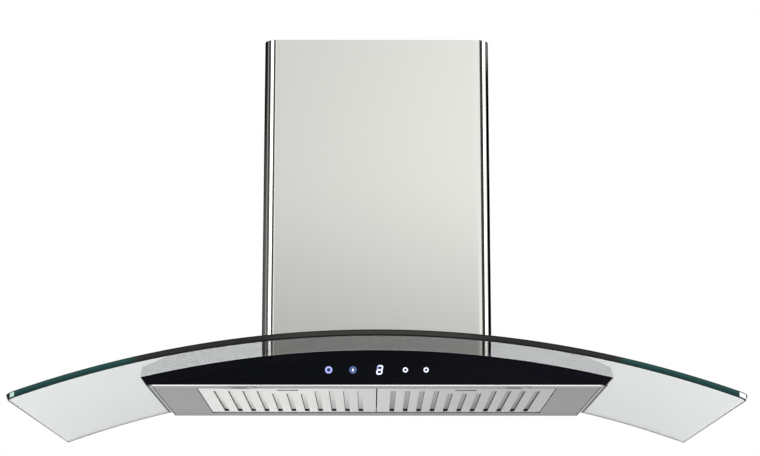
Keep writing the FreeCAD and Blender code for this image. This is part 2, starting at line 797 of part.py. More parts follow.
def make_filter_face(name):
    """The tray: the visible face with its slots, upright walls and the two hooks."""
    wall = s.sheet
    face_top = s.filter_recess + wall
    wall_top = filter_top - wall
    depth = (-filter_front, -s.filter_rear)
    outside = box(name + "_tray_outside", both(filter_half), depth, (s.filter_recess, wall_top))
    inside = box(name + "_tray_inside", both(filter_half - wall),
                 (wall - filter_front, -s.filter_rear - wall), (face_top, wall_top + 1))
    tools = [inside]
    lips = []
    for number, (x, front) in enumerate(slot_places(), start=1):
        half = s.slot_width / 2
        tools.append(box(f"{name}_slot_{number}", (x - half, x + half), (-front, -s.slot_rear),
                         (s.filter_recess - 1, face_top + 1)))
        for side in (-1, 1):
            span = ordered((x + side * half, x + side * (half + s.lip_thickness)))
            lips.append(box(f"{name}_lip_{number}", span, (-front, -s.slot_rear),
                            (s.filter_recess, face_top + s.lip_height)))
    pocket_half = s.latch_width / 2 + s.latch_clearance
    tools.append(box(name + "_pocket", both(pocket_half),
                     (-s.latch_place - s.latch_clearance,
                      s.latch_grip + s.latch_reach + s.latch_clearance - s.latch_place),
                     (s.filter_recess - 1, face_top + 1)))
    mouth_half = s.latch_tongue_width / 2 + s.latch_clearance
    tools.append(box(name + "_mouth", both(mouth_half), (-filter_front - 1, 2 * wall - filter_front),
                     (face_top, face_top + s.latch_tongue_thickness + 2 * s.latch_clearance)))
    tray = cut(name + "_tray", outside, *tools)
    hooks = []
    for side in (-1, 1):
        span = around(side * s.hook_spread / 2, s.hook_width)
        hooks.append(box(name + "_hook", span, (-s.filter_rear, -bead_line),
                         around(bead_height, s.hook_thickness)))
        hooks.append(cylinder(name + "_bead", "x", (-bead_line, bead_height), span, s.bead_radius))
    return fuse(name + "_filter_face", tray, *lips, *hooks)


def make_filter_baffles(name):
    """The open channels over the slots, tied by straps into one piece."""
    wall = s.lip_thickness
    top = filter_top - s.sheet
    foot = s.filter_recess + s.sheet + s.lip_height + s.channel_lift
    half = s.channel_width / 2
    solids = []
    for number, (x, front) in enumerate(slot_places(), start=1):
        depth = (-front, -s.channel_rear)
        for side in (-1, 1):
            span = ordered((x + side * half, x + side * (half - wall)))
            solids.append(box(f"{name}_leg_{number}", span, depth, (foot, top)))
        solids.append(box(f"{name}_floor_{number}", (x - half, x + half), depth, (foot, foot + wall)))
    reach = rim_inside()[0]
    first = s.slot_front - s.strap_width / 2
    last = s.channel_rear + s.strap_width
    for number, line in enumerate((first, (first + last) / 2, last), start=1):
        solids.append(box(f"{name}_strap_{number}", both(reach), around(-line, s.strap_width),
                          (top - wall, top)))
    return fuse(name + "_filter_baffles", *solids)


def make_filter_frame(name):
    """The rim that closes the back of the tray, with a stop for the latch spring."""
    wall = s.sheet
    low = s.filter_recess + wall
    high = filter_top - wall
    half, front, rear = rim_inside()
    plate = box(name + "_rim_plate", both(filter_half), (-filter_front, -s.filter_rear), (high, filter_top))
    skirt = box(name + "_rim_skirt", both(half + wall), (-front - wall, wall - rear), (low, filter_top))
    hole = box(name + "_rim_hole", both(half), (-front, -rear), (low - 1, filter_top + 1))
    gate = box(name + "_rim_gate", both(s.spring_radius + 1), (-front - 2 * wall, wall - front),
               (low - 1, high - wall))
    stop = box(name + "_rim_stop", both(2 * s.spring_radius), (-s.spring_end, wall - s.spring_end),
               (low, high - s.lip_thickness))
    stay = box(name + "_rim_stay", both(s.spring_wire), (-front, -s.spring_end),
               (high - s.lip_thickness - s.spring_wire, high - s.lip_thickness))
    rim = cut(name + "_rim", fuse(name + "_rim_solid", plate, skirt), hole, gate)
    return fuse(name + "_filter_frame", rim, stop, stay)


def latch_levels():
    foot = s.filter_recess + s.sheet + s.latch_clearance
    return (foot, foot + s.latch_height)


def make_latch(name):
    foot, head = latch_levels()
    front = -filter_front - s.latch_reach
    back = s.latch_grip - s.latch_place
    tongue = box(name + "_tongue", both(s.latch_tongue_width / 2), (front, back),
                 (foot, foot + s.latch_tongue_thickness))
    block = box(name + "_latch_block", both(s.latch_width / 2), (-s.latch_place, back), (foot, head))
    grip = box(name + "_latch_grip", both(s.latch_width / 2), (-s.latch_place, back),
               (s.filter_recess + s.latch_clearance, head))
    return fuse(name + "_latch", tongue, block, grip)


def make_latch_spring(name):
    foot, head = latch_levels()
    start = s.latch_grip - s.latch_place
    return tube(name + "_latch_spring", "y", (0, (foot + head) / 2), (start, -s.spring_end),
                s.spring_radius, s.spring_radius - s.spring_wire)


def make_filters():
    makers = (
        ("filter_face", make_filter_face),
        ("filter_baffles", make_filter_baffles),
        ("filter_frame", make_filter_frame),
        ("latch", make_latch),
        ("latch_spring", make_latch_spring),
    )
    for side, name in ((-1, "left"), (1, "right")):
        for kind, maker in makers:
            piece(maker(name), f"{name}_{kind}", side * filter_centre)


def make_filter_rail():
    """A hooked strip behind the filters: an open ring, an arm over it and a leg with a foot."""
    inner = s.bead_radius + s.bead_clearance
    outer = inner + s.rail_thickness
    span = both(s.rail_length / 2)
    ring = doc.addObject("Part::Cylinder", "rail_ring")
    bind(ring, "Radius", outer)
    bind(ring, "Height", s.rail_length)
    ring.Angle = HOOK_ANGLE
    start = math.radians(HOOK_START)
    turn = FreeCAD.Rotation(FreeCAD.Vector(0, math.cos(start), math.sin(start)),
                            FreeCAD.Vector(0, -math.sin(start), math.cos(start)),
                            FreeCAD.Vector(1, 0, 0), "ZXY")
    ring.Placement = FreeCAD.Placement(FreeCAD.Vector(), turn)
    bind(ring, "Placement.Base.x", span[0])
    bind(ring, "Placement.Base.y", -bead_line)
    bind(ring, "Placement.Base.z", bead_height)
    bore = cylinder("rail_bore", "x", (-bead_line, bead_height), (span[0] - 1, span[1] + 1), inner)
    leg_line = s.rail_leg - bead_line
    arm_levels = (bead_height + inner, bead_height + outer)
    arm = box("rail_arm", span, (-bead_line, leg_line), arm_levels)
    leg = box("rail_web", span, (leg_line - s.rail_thickness, leg_line), (s.sheet, arm_levels[1]))
    foot = box("rail_foot_strip", span, (leg_line, leg_line + s.rail_foot),
               (s.sheet, s.sheet + s.rail_thickness))
    solid = fuse("filter_rail", cut("rail_hook", ring, bore), arm, leg, foot)
    piece(solid, "filter_rail")


def make_filter_catches():
    """Two blocks on the underside that the latches' tongues rest on."""
    height = s.filter_recess + s.sheet
    blocks = []
    for side, name in ((-1, "left"), (1, "right")):
        blocks.append(box(f"catch_{name}", around(side * filter_centre, s.catch_width),
                          (-s.opening_front - s.catch_depth, -s.opening_front), (s.sheet, height)))
    piece(group("filter_catches", *blocks), "filter_catches")


# ---- Motor box -------------------------------------------------------------------------------

def lid_screw_places():
    inset = 2 * s.screw_head
    return [(side * (box_half - inset), -line) for side in (-1, 1)
            for line in (inset + s.screw_head, box_depth - inset)]


def make_motor_box():
    hole = s.bolt_radius + s.bolt_clearance
    piece(clamped_sheet("motor_base_plate", base_radius, s.base_sheet, hole), "motor_base_plate")
    wall = s.sheet
    outside = box("motor_box_outside", both(box_half), (-box_depth, 0), (0, s.box_top))
    inside = box("motor_box_inside", both(box_half - wall), (wall - box_depth, -s.back_sheet),
                 (-1, s.box_top + 1))
    foot = core("motor_box_foot", box_foot_radius, (-box_depth - 1, 1))
    holes = []
    for side in (-1, 1):
        for level in (-1, 1):
            at = (side * s.wall_hole_width / 2, s.wall_hole_rise + level * s.wall_hole_height / 2)
            holes.append(cylinder("wall_hole", "y", at, (-s.back_sheet - 1, 1), s.wall_hole_radius))
    tabs = []
    for number, (x, y) in enumerate(lid_screw_places(), start=1):
        edge = box_half if x.number > 0 else -box_half
        tabs.append(box(f"lid_tab_{number}", ordered((edge, x + (x - edge))),
                        around(y, 3 * s.screw_head), (s.box_top - wall, s.box_top)))
        holes.append(cylinder(f"lid_tab_hole_{number}", "z", (x, y), (s.box_top - 2 * wall, s.box_top + 1),
                              s.screw_radius + s.bolt_clearance / 2))
    walls = cut("motor_box_walls", outside, inside, foot)
    piece(cut("motor_box", fuse("motor_box_solid", walls, *tabs), *holes), "motor_box")


def make_lid():
    levels = (s.box_top, outlet_foot)
    reach = (levels[0] - 1, levels[1] + 1)
    plate = box("lid_plate", both(box_half), (-box_depth, 0), levels)
    tools = [
        cylinder("lid_outlet", "z", (0, -s.outlet_line), reach, s.outlet_radius - s.outlet_wall),
        cylinder("lid_gland", "z", gland_place(), reach, s.gland_radius + s.bolt_clearance),
    ]
    screws = []
    for number, place in enumerate(lid_screw_places(), start=1):
        tools.append(cylinder(f"lid_hole_{number}", "z", place, reach, s.screw_radius + s.bolt_clearance / 2))
        shank = cylinder(f"lid_shank_{number}", "z", place, (s.box_top - s.lid_screw_depth, outlet_foot),
                         s.screw_radius)
        head = cylinder(f"lid_head_{number}", "z", place, (outlet_foot, outlet_foot + s.screw_head_height),
                        s.screw_head)
        screws.append(fuse(f"lid_screw_{number}", shank, head))
    piece(cut("motor_box_lid", plate, *tools), "motor_box_lid")
    piece(group("lid_screws", *screws), "lid_screws")


# ---- Fan -------------------------------------------------------------------------------------

def scroll_outline(grow):
    """The scroll's outline in the YZ plane, about the fan axis: three quarter arcs that widen
    from the cut-off at the top, over the front and the bottom, and a straight outlet."""
    step = s.scroll_step.number
    first = s.scroll_radius.number + grow
    half = step / 2
    top = s.scroll_top.number
    centres = ((-half, -half), (half, -half), (half, half))
    starts = (QUARTER, 2 * QUARTER, 3 * QUARTER)
    edges = []
    for number, ((y, z), start) in enumerate(zip(centres, starts)):
        radius = first + number * step
        points = []
        for angle in (start, start + QUARTER / 2, start + QUARTER):
            turn = math.radians(angle)
            points.append(FreeCAD.Vector(0, y + radius * math.cos(turn), z + radius * math.sin(turn)))
        edges.append(Part.Arc(*points).toShape())
    rear = half + first + 2 * step
    corners = [FreeCAD.Vector(0, rear, half), FreeCAD.Vector(0, rear, top),
               FreeCAD.Vector(0, -half, top), FreeCAD.Vector(0, -half, first - half)]
    for start, end in zip(corners, corners[1:]):
        edges.append(Part.LineSegment(start, end).toShape())
    return Part.Face(Part.Wire(edges))


def scroll_solid(grow, start, length):
    face = scroll_outline(grow)
    face.translate(FreeCAD.Vector(start, -s.fan_line.number, s.fan_height.number))
    return face.extrude(FreeCAD.Vector(length, 0, 0))


def make_scroll():
    wall = s.scroll_wall.number
    half = s.scroll_width.number / 2
    at = FreeCAD.Vector(-half - 1, -s.fan_line.number, s.fan_height.number)
    eye = Part.makeCylinder(s.inlet_radius.number, 2 * half + 2, at, FreeCAD.Vector(1, 0, 0))
    tongue_line = -s.fan_line.number - s.scroll_step.number / 2
    tongue_foot = s.fan_height.number + s.scroll_radius.number - s.scroll_step.number / 2
    tongue_top = s.fan_height.number + s.scroll_top.number
    for start, name in ((-half, "left_blower_half"), (0, "right_blower_half")):
        tongue = Part.makeBox(half, wall, tongue_top - tongue_foot,
                              FreeCAD.Vector(start, tongue_line - wall, tongue_foot))
        outside = scroll_solid(wall, start, half).fuse(tongue)
        inside = scroll_solid(0, start + wall if start < 0 else start - 1, half - wall + 1)
        mouth = Part.makeBox(2 * half - 2 * wall, 2 * s.scroll_radius.number, 2 * wall,
                             FreeCAD.Vector(wall - half, tongue_line, tongue_top))
        shape = outside.cut(inside).cut(eye).cut(mouth).removeSplitter()
        item = doc.addObject("Part::Feature", name)
        item.Shape = shape.Solids[0] if len(shape.Solids) == 1 else shape
        piece(item, name)


def make_inlet_rings():
    place = (-s.fan_line, s.fan_height)
    face = s.scroll_width / 2
    inner = s.inlet_radius - s.inlet_wall
    rings = []
    for side, name in ((-1, "left"), (1, "right")):
        neck = ordered((side * (face - s.inlet_wall), side * face))
        flange = ordered((side * face, side * (face + s.arm_thickness)))
        solid = fuse(name + "_inlet_solid",
                     cylinder(name + "_inlet_neck", "x", place, neck, s.inlet_radius - s.shaft_clearance),
                     cylinder(name + "_inlet_flange", "x", place, flange, s.inlet_radius + s.inlet_flange))
        bore = cylinder(name + "_inlet_bore", "x", place, both(face + PAST), inner)
        rings.append(cut(name + "_inlet_ring", solid, bore))
    piece(group("inlet_rings", *rings), "inlet_rings")


def motor_screw_places():
    """Three screws on a circle about the fan axis, at the angles of the bracket's arms."""
    places = []
    for angle in ARM_ANGLES:
        turn = Size(angle, f"{angle}")
        places.append((turn, s.motor_screw_circle * cosine(turn) - s.fan_line,
                       s.motor_screw_circle * sine(turn) + s.fan_height))
    return places


def make_motor():
    place = (-s.fan_line, s.fan_height)
    end = s.motor_gap + s.motor_length
    grip = s.shaft_grip
    can = cylinder("motor_can", "x", place, (s.motor_gap, end), s.motor_radius)
    bore = cylinder("motor_bore", "x", place, (s.motor_gap - 1, s.motor_gap + grip + 1),
                    s.shaft_radius + s.shaft_clearance)
    tools = [bore]
    screws = []
    hub_face = end + s.arm_thickness
    hub = cylinder("bracket_hub", "x", place, (end, hub_face), s.motor_radius)
    arms = []
    hub_tools = [cylinder("bracket_eye", "x", place, (end - 1, hub_face + 1), s.motor_screw_circle / 2)]
    for number, (angle, y, z) in enumerate(motor_screw_places(), start=1):
        hole = s.screw_radius + s.bolt_clearance / 2
        tools.append(cylinder(f"motor_hole_{number}", "x", (y, z), (end - s.motor_screw_depth - 1, end + 1),
                              hole))
        hub_tools.append(cylinder(f"bracket_hole_{number}", "x", (y, z), (end - 1, hub_face + 1), hole))
        screws.append(fuse(
            f"motor_screw_{number}",
            cylinder(f"motor_shank_{number}", "x", (y, z), (end - s.motor_screw_depth, hub_face),
                     s.screw_radius),
            cylinder(f"motor_head_{number}", "x", (y, z), (hub_face, hub_face + s.screw_head_height),
                     s.screw_head)))
        arms.append(bracket_arm(f"bracket_arm_{number}", angle, end, hub_face))
    piece(cut("blower_motor", can, *tools), "blower_motor")
    piece(cut("motor_bracket", fuse("bracket_solid", hub, *arms), *hub_tools), "motor_bracket")
    piece(group("motor_screws", *screws), "motor_screws")


def bracket_arm(name, angle, inner_face, outer_face):
    """An arm from the hub to the side of the scroll, square to the fan axis, with its foot."""
    side_face = s.scroll_width / 2
    inset = s.motor_radius - 2
    arm = doc.addObject("Part::Box", name + "_bar")
    foot = doc.addObject("Part::Box", name + "_foot")
    for item, radial, start, end in ((arm, inset, inner_face, outer_face),
                                     (foot, s.arm_radius - s.arm_thickness, side_face, outer_face)):
        bind(item, "Length", end - start)
        bind(item, "Width", s.arm_radius - radial)
        bind(item, "Height", s.arm_width)
        turn = FreeCAD.Rotation(FreeCAD.Vector(1, 0, 0), angle.number)
        item.Placement = FreeCAD.Placement(FreeCAD.Vector(), turn)
        across = -s.arm_width / 2
        bind(item, "Placement.Base.x", start)
        bind(item, "Placement.Base.y", radial * cosine(angle) - across * sine(angle) - s.fan_line)
        bind(item, "Placement.Base.z", radial * sine(angle) + across * cosine(angle) + s.fan_height)
    return fuse(name, arm, foot)


def make_impeller():
    place = (-s.fan_line, s.fan_height)
    half = s.impeller_width / 2
    radius = s.impeller_radius
    wall = s.arm_thickness
    web = cylinder("impeller_web", "x", place, both(wall / 2), radius)
    hub = cylinder("impeller_hub", "x", place, (-s.hub_length / 2, s.hub_length / 2 - wall), s.hub_radius)
    rings = []
    for side in (-1, 1):
        span = ordered((side * half, side * (half - wall)))
        rings.append(tube("impeller_ring", "x", place, span, radius, radius - s.blade_depth))
    blades = []
    count = int(s.blades.number)
    for number in range(count):
        angle = 360 * number / count
        blade = doc.addObject("Part::Box", f"blade_{number + 1}")
        bind(blade, "Length", s.impeller_width)
        bind(blade, "Width", s.blade_depth - s.bolt_clearance)
        bind(blade, "Height", s.blade_thickness)
        blade.Placement = FreeCAD.Placement(
            FreeCAD.Vector(), FreeCAD.Rotation(FreeCAD.Vector(1, 0, 0), angle))
        turn = Size(angle, f"{angle}")
        reach = radius - s.blade_depth
        bind(blade, "Placement.Base.x", -half)
        bind(blade, "Placement.Base.y", reach * cosine(turn) - s.fan_line)
        bind(blade, "Placement.Base.z", reach * sine(turn) + s.fan_height)
        blades.append(blade)
    solid = fuse("impeller_solid", web, hub, *rings, *blades)
    bore = cylinder("impeller_bore", "x", place, both(s.hub_length), s.shaft_radius)
    piece(cut("impeller", solid, bore), "impeller")
    shaft = cylinder("shaft_rod", "x", place, (-s.hub_length / 2 - wall, s.motor_gap + s.shaft_grip),
                     s.shaft_radius)
    piece(shaft, "motor_shaft")


def make_capacitor():
    line = box_depth - s.sheet - s.capacitor_radius - s.seat_gap
    levels = (s.capacitor_foot_height, s.capacitor_foot_height + s.capacitor_height)
    can = cylinder("capacitor_can", "z", (-s.capacitor_place, -line), levels, s.capacitor_radius)
    band_levels = around(s.capacitor_foot_height + s.capacitor_height / 2, 3 * s.screw_head)
    band = tube("capacitor_band", "z", (-s.capacitor_place, -line), band_levels,
                s.capacitor_radius + s.sheet, s.capacitor_radius)
    trim_front = box("capacitor_clear", around(-s.capacitor_place, s.box_width),
                     (-box_depth - PAST, s.sheet - box_depth), (0, s.box_top))
    piece(can, "capacitor")
    foot = box("capacitor_foot", around(-s.capacitor_place, 4 * s.capacitor_radius),
               (s.sheet - box_depth, 2 * s.sheet - box_depth), band_levels)
    hollow = cylinder("capacitor_hollow", "z", (-s.capacitor_place, -line), levels, s.capacitor_radius)
    solid = cut("capacitor_band_trimmed", band, trim_front)
    piece(cut("capacitor_clamp", fuse("capacitor_clamp_solid", solid, foot), hollow), "capacitor_clamp")


# ---- Outlet ----------------------------------------------------------------------------------

def make_outlet_box():
    wall = s.sheet
    foot = s.fan_height + s.scroll_top
    half = s.outlet_box_width / 2
    step = s.scroll_step
    rear_wall = step / 2 + s.scroll_radius + 2 * step - s.fan_line
    outside = box("outlet_box_outside", both(half), (-s.outlet_box_front, -s.outlet_box_rear),
                  (foot, s.box_top))
    inside = box("outlet_box_inside", both(half - wall),
                 (wall - s.outlet_box_front, -s.outlet_box_rear - wall), (foot + wall, s.box_top + 1))
    mouth = box("outlet_box_mouth", both(s.scroll_width / 2 - s.scroll_wall),
                (-s.fan_line - step / 2, rear_wall), (foot - 1, foot + 2 * wall))
    piece(cut("outlet_box", outside, inside, mouth), "outlet_box")


def make_collar():
    place = (0, -s.outlet_line)
    bore = s.outlet_radius - s.outlet_wall
    foot = outlet_foot
    pipe = cylinder("collar_pipe", "z", place, (foot, foot + s.outlet_length), s.outlet_radius)
    flange = cylinder("collar_flange", "z", place, (foot, foot + s.outlet_wall),
                      s.outlet_radius + s.outlet_flange)
    inside = cylinder("collar_inside", "z", place, (foot - 1, foot + s.outlet_length + 1), bore)
    ledge_levels = (foot + s.ledge_rise, foot + s.ledge_rise + s.flap_thickness)
    ledge = tube("collar_ledge", "z", place, ledge_levels, bore + s.outlet_wall / 2, bore - s.ledge_width)
    gap = s.flap_spread + 2 * s.flap_bead
    notch = box("collar_notch", both(bore - s.seat_gap), around(-s.outlet_line, gap),
                (foot, foot + s.outlet_length))
    pins = []
    for side in (-1, 1):
        line = side * s.flap_spread / 2 - s.outlet_line
        pins.append(cylinder("collar_pin_hole", "x", (line, flap_level()), both(s.outlet_radius + 1),
                             s.flap_bead + s.shaft_clearance))
    shell = cut("collar_shell", fuse("collar_solid", pipe, flange), inside)
    rest = cut("collar_rest", ledge, notch)
    piece(cut("outlet_collar", fuse("collar_whole", shell, rest), *pins), "outlet_collar")


def flap_level():
    """Height of the flaps' hinge lines: the plates lie seat_gap above the ledge."""
    return outlet_foot + s.ledge_rise + 1.5 * s.flap_thickness + s.seat_gap


def make_flaps():
    level = flap_level()
    bore = s.outlet_radius - s.outlet_wall
    for side, name in ((-1, "front"), (1, "rear")):
        line = side * s.flap_spread / 2 - s.outlet_line
        disc = cylinder(name + "_flap_disc", "z", (0, -s.outlet_line),
                        around(level, s.flap_thickness), bore - s.flap_clearance)
        reach = ordered((line, line + side * bore))
        half = box(name + "_flap_half", both(bore), reach, around(level, 2 * s.flap_thickness))
        plate = common(name + "_flap_plate", disc, half)
        long_bead = cylinder(name + "_flap_bead", "x", (line, level), both(s.outlet_radius - s.seat_gap),
                             s.flap_bead)
        label = name + "_damper_flap"
        piece(fuse(label, plate, long_bead), label)


# ---- Electrical connection -------------------------------------------------------------------

def gland_place():
    return (-s.terminal_place, -s.back_sheet - s.terminal_depth / 2)


def make_terminal_box():
    wall = s.cover_wall
    top = s.box_top - s.sheet
    across = around(-s.terminal_place, s.terminal_width)
    depth = (-s.back_sheet - s.terminal_depth, -s.back_sheet)
    levels = (top - s.terminal_height, top)
    outside = box("terminal_outside", across, depth, levels)
    inside = box("terminal_inside", (across[0] + wall, across[1] - wall), (depth[0] - 1, depth[1] - wall),
                 (levels[0] + wall, levels[1] - wall))
    hole = cylinder("terminal_hole", "z", gland_place(), (top - 2 * wall, s.box_top),
                    s.gland_radius + s.bolt_clearance)
    piece(cut("terminal_box", outside, inside, hole), "terminal_box")
    piece(box("terminal_lid_plate", across, (depth[0] - wall, depth[0]), levels), "terminal_lid")
    body = cylinder("gland_body", "z", gland_place(),
                    (top - s.terminal_height / 3, outlet_foot + s.gland_length), s.gland_radius)
    collar = cylinder("gland_rim", "z", gland_place(), (outlet_foot, outlet_foot + s.gland_length / 2),
                      s.gland_collar)
    bore = cylinder("gland_way", "z", gland_place(),
                    (top - s.terminal_height, outlet_foot + 2 * s.gland_length), s.gland_bore)
    piece(cut("cable_gland", fuse("gland_solid", body, collar), bore), "cable_gland")


# ---- Duct covers -----------------------------------------------------------------------------

def duct_sleeve(name, half, front, rear, corner, levels, lip_half):
    """A sleeve open at top and bottom, with rounded front corners and lips along the wall."""
    wall = s.sheet
    outer = rounded(name + "_outer", box(name + "_block", both(half), (-front, -rear), levels), corner,
                    lambda x, y: y < -front.number / 2)
    open_levels = (levels[0] - 1, levels[1] + 1)
    room = box(name + "_room_block", both(half - wall), (wall - front, -rear - wall), open_levels)
    inner = rounded(name + "_room", room, corner - wall, lambda x, y: y < -front.number / 2)
    gap = box(name + "_back_gap", both(lip_half), (-rear - 2 * wall, 1 - rear), open_levels)
    return outer, inner, gap


def make_duct_covers():
    wall = s.sheet
    lip_half = duct_half - s.duct_lip
    outer, inner, gap = duct_sleeve("lower_cover", duct_half, s.duct_depth, sized(0), s.duct_corner,
                                    (sized(0), s.duct_top), lip_half)
    foot = core("lower_cover_foot", glass_top + s.seat_gap, (-s.duct_depth - 1, 2))
    piece(cut("lower_duct_cover", outer, inner, gap, foot), "lower_duct_cover")
    step = wall + s.duct_gap
    top = s.duct_top - s.upper_drop
    outer, inner, gap = duct_sleeve("upper_cover", duct_half - step, s.duct_depth - step, step,
                                    s.duct_corner - step, (top - s.upper_length, top), lip_half - step)
    piece(cut("upper_duct_cover", outer, inner, gap), "upper_duct_cover")


def make_cover_clips():
    """Two folded clips between the motor box and the inside of the lower cover."""
    wall = s.lid_sheet
    reach = duct_half - s.sheet
    levels = (s.clip_foot, s.clip_foot + s.clip_height)
    depth = around(-s.clip_line, s.clip_width)
    clips = []
    for side, name in ((-1, "left"), (1, "right")):
        plates = []
        for at, span, height in (("inner", (box_half, box_half + wall), levels),
                                 ("shelf", (box_half, reach), (levels[1] - wall, levels[1])),
                                 ("outer", (reach - wall, reach), levels)):
            span = ordered((side * span[0], side * span[1]))
            plates.append(box(f"clip_{name}_{at}", span, depth, height))
        clips.append(fuse(f"clip_{name}", *plates))
    piece(group("cover_clips", *clips), "cover_clips")


def make_cover_bracket():
    """A hat-shaped wall bracket whose wings guide the upper cover from inside."""
    wall = s.base_sheet
    wing = duct_half - 2 * s.sheet - s.duct_gap - s.seat_gap
    levels = (s.bracket_top - s.bracket_height, s.bracket_top)
    plates = [box("bracket_back", both(s.bracket_half), (-wall, 0), levels)]
    for side, name in ((-1, "left"), (1, "right")):
        edge = s.bracket_half - wall
        for at, span, depth in (("step", (edge, s.bracket_half), (-s.bracket_step, 0)),
                                ("bridge", (edge, wing), (-s.bracket_step, wall - s.bracket_step)),
                                ("wing", (wing - wall, wing), (-s.bracket_wing, wall - s.bracket_step))):
            span = ordered((side * span[0], side * span[1]))
            plates.append(box(f"bracket_{at}_{name}", span, depth, levels))
    hole_height = s.bracket_top - s.bracket_height / 2
    holes = [cylinder("bracket_wall_hole", "y", (side * s.bracket_hole_width / 2, hole_height),
                      (-wall - 1, 1), s.bracket_hole_radius) for side in (-1, 1)]
    piece(cut("duct_cover_bracket", fuse("bracket_plates", *plates), *holes), "duct_cover_bracket")


def check_document():
    """Stop if any object failed, or if a sub-part's shape is empty or not valid."""
    faults = []
    for item in doc.Objects:
        if "Invalid" in item.State or "Error" in item.State:
            faults.append(f"{item.Label}: {item.State}")
    for item in pieces:
        if item.Shape.isNull() or not item.Shape.isValid() or not item.Shape.Solids:
            faults.append(f"{item.Label}: no valid solid")
    if faults:
        raise RuntimeError("; ".join(faults))


def main():
    make_glass()
    make_seals()
    make_clamp_bolts()
    make_body_shell()
    make_panel()
    make_side_trims()
    make_bottom_plate()
    make_lamps()
    make_control()
    make_filters()
    make_filter_rail()
    make_filter_catches()
    make_motor_box()
    make_lid()
    make_scroll()
    make_inlet_rings()
    make_motor()
    make_impeller()
    make_capacitor()
    make_outlet_box()
    make_collar()
    make_flaps()
    make_terminal_box()
    make_duct_covers()
    make_cover_clips()
    make_cover_bracket()
    doc.recompute()
    check_document()
    os.makedirs("parts", exist_ok=True)
    for item in pieces:
        item.Shape.exportStep(os.path.join("parts", item.Label + ".step"))
        print(item.Label, len(item.Shape.Solids), round(item.Shape.Volume / 1000, 1), "cm3")


main()
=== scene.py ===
"""Looks of the curved glass range hood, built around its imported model.

Metres, in the model's own frame: the wall is at y = 0, the front faces -Y, Z is up.
"""
import math

import bmesh
import bpy
from mathutils import Matrix, Vector


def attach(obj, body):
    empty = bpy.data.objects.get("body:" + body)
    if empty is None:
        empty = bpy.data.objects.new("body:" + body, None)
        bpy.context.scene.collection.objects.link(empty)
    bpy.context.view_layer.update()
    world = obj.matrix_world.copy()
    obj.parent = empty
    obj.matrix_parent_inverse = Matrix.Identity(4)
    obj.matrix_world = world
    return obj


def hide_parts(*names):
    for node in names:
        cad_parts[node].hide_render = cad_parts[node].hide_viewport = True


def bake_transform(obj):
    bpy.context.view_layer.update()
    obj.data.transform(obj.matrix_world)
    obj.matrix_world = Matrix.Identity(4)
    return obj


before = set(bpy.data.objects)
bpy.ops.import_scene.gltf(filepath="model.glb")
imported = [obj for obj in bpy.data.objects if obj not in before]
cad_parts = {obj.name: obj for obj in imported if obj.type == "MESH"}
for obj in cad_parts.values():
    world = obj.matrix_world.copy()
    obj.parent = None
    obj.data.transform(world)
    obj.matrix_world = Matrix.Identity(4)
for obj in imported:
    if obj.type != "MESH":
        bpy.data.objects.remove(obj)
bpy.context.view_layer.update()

MM = 0.001
FLOOR_HEIGHT = -0.165           # the body's bottom plane in the model's frame


def up(height):
    """A height above the body's bottom plane, in millimetres, as a z in the model's frame."""
    return height * MM + FLOOR_HEIGHT


# ---- Sizes, in millimetres, as in the part's source ---------------------------------------------

GLASS_RADIUS = 1308
GLASS_THICKNESS = 8
GLASS_APEX = 46
GLASS_HALF = 450
GLASS_DEPTH = 500
GLASS_CORNER = 12
AIR_HALF, AIR_FRONT, AIR_REAR, AIR_CORNER = 105, 205, 35, 20
BOLT_ANGLE = 5.2
BOLT_LINES = (212, 120, 25)
BUSH_RADIUS = 5.8
PANEL_FRONT, PANEL_THICKNESS = 385, 4
PANEL_FOOT, PANEL_LOW, PANEL_HEAD = 291.2, 1.4, 300
COVER_HALF, COVER_DEPTH, COVER_CORNER, COVER_TOP, COVER_LIP = 155, 250, 17, 499.6, 10
UPPER_COVER_FOOT = 80
FILTER_MIDDLE, SLOT_PITCH = 115.125, 18.7
LAMP_CENTRE = 175
SHEET = 1
SEAT = 0.3
KEY_HEIGHT = 20.2
ARCH_AXIS = GLASS_APEX - GLASS_RADIUS


def arch(radius, x):
    return ARCH_AXIS + math.sqrt(radius * radius - x * x)


# ---- Small tools ------------------------------------------------------------------------------

def linear(code):
    """A colour written as RRGGBB, as the shader's linear numbers."""
    parts = [int(code[i:i + 2], 16) / 255 for i in (0, 2, 4)]
    return tuple(c / 12.92 if c <= 0.04045 else ((c + 0.055) / 1.055) ** 2.4 for c in parts) + (1,)


def link(tree, source, target):
    """Put a socket, or a plain value, on an input socket."""
    if isinstance(source, bpy.types.NodeSocket):
        tree.links.new(source, target)
    else:
        target.default_value = source


def node(tree, kind, inputs=None, **settings):
    made = tree.nodes.new(kind)
    for name, value in settings.items():
        setattr(made, name, value)
    for name, value in (inputs or {}).items():
        link(tree, value, made.inputs[name])
    return made


def maths(tree, operation, first, second=0.0, clamp=False):
    made = node(tree, "ShaderNodeMath", {0: first, 1: second}, operation=operation, use_clamp=clamp)
    return made.outputs[0]


def times(tree, first, second):
    return maths(tree, "MULTIPLY", first, second)


def plus(tree, first, second, clamp=False):
    return maths(tree, "ADD", first, second, clamp)


def minus(tree, first, second):
    return maths(tree, "SUBTRACT", first, second)


def swing(tree, value, amount):
    """A value about one half, as a swing about zero."""
    return times(tree, minus(tree, value, 0.5), amount)


def mixed(tree, share, first, second):
    """From the first value to the second as the share goes from 0 to 1."""
    return plus(tree, times(tree, first, minus(tree, 1.0, share)), times(tree, second, share))


def ramp(tree, value, low, high, start=0.0, end=1.0, smooth=True):
    """A value that goes from start to end while the input goes from low to high."""
    kind = "SMOOTHSTEP" if smooth else "LINEAR"
    made = node(tree, "ShaderNodeMapRange",
                {"Value": value, "From Min": low, "From Max": high, "To Min": start, "To Max": end},
                interpolation_type=kind)
    return made.outputs["Result"]


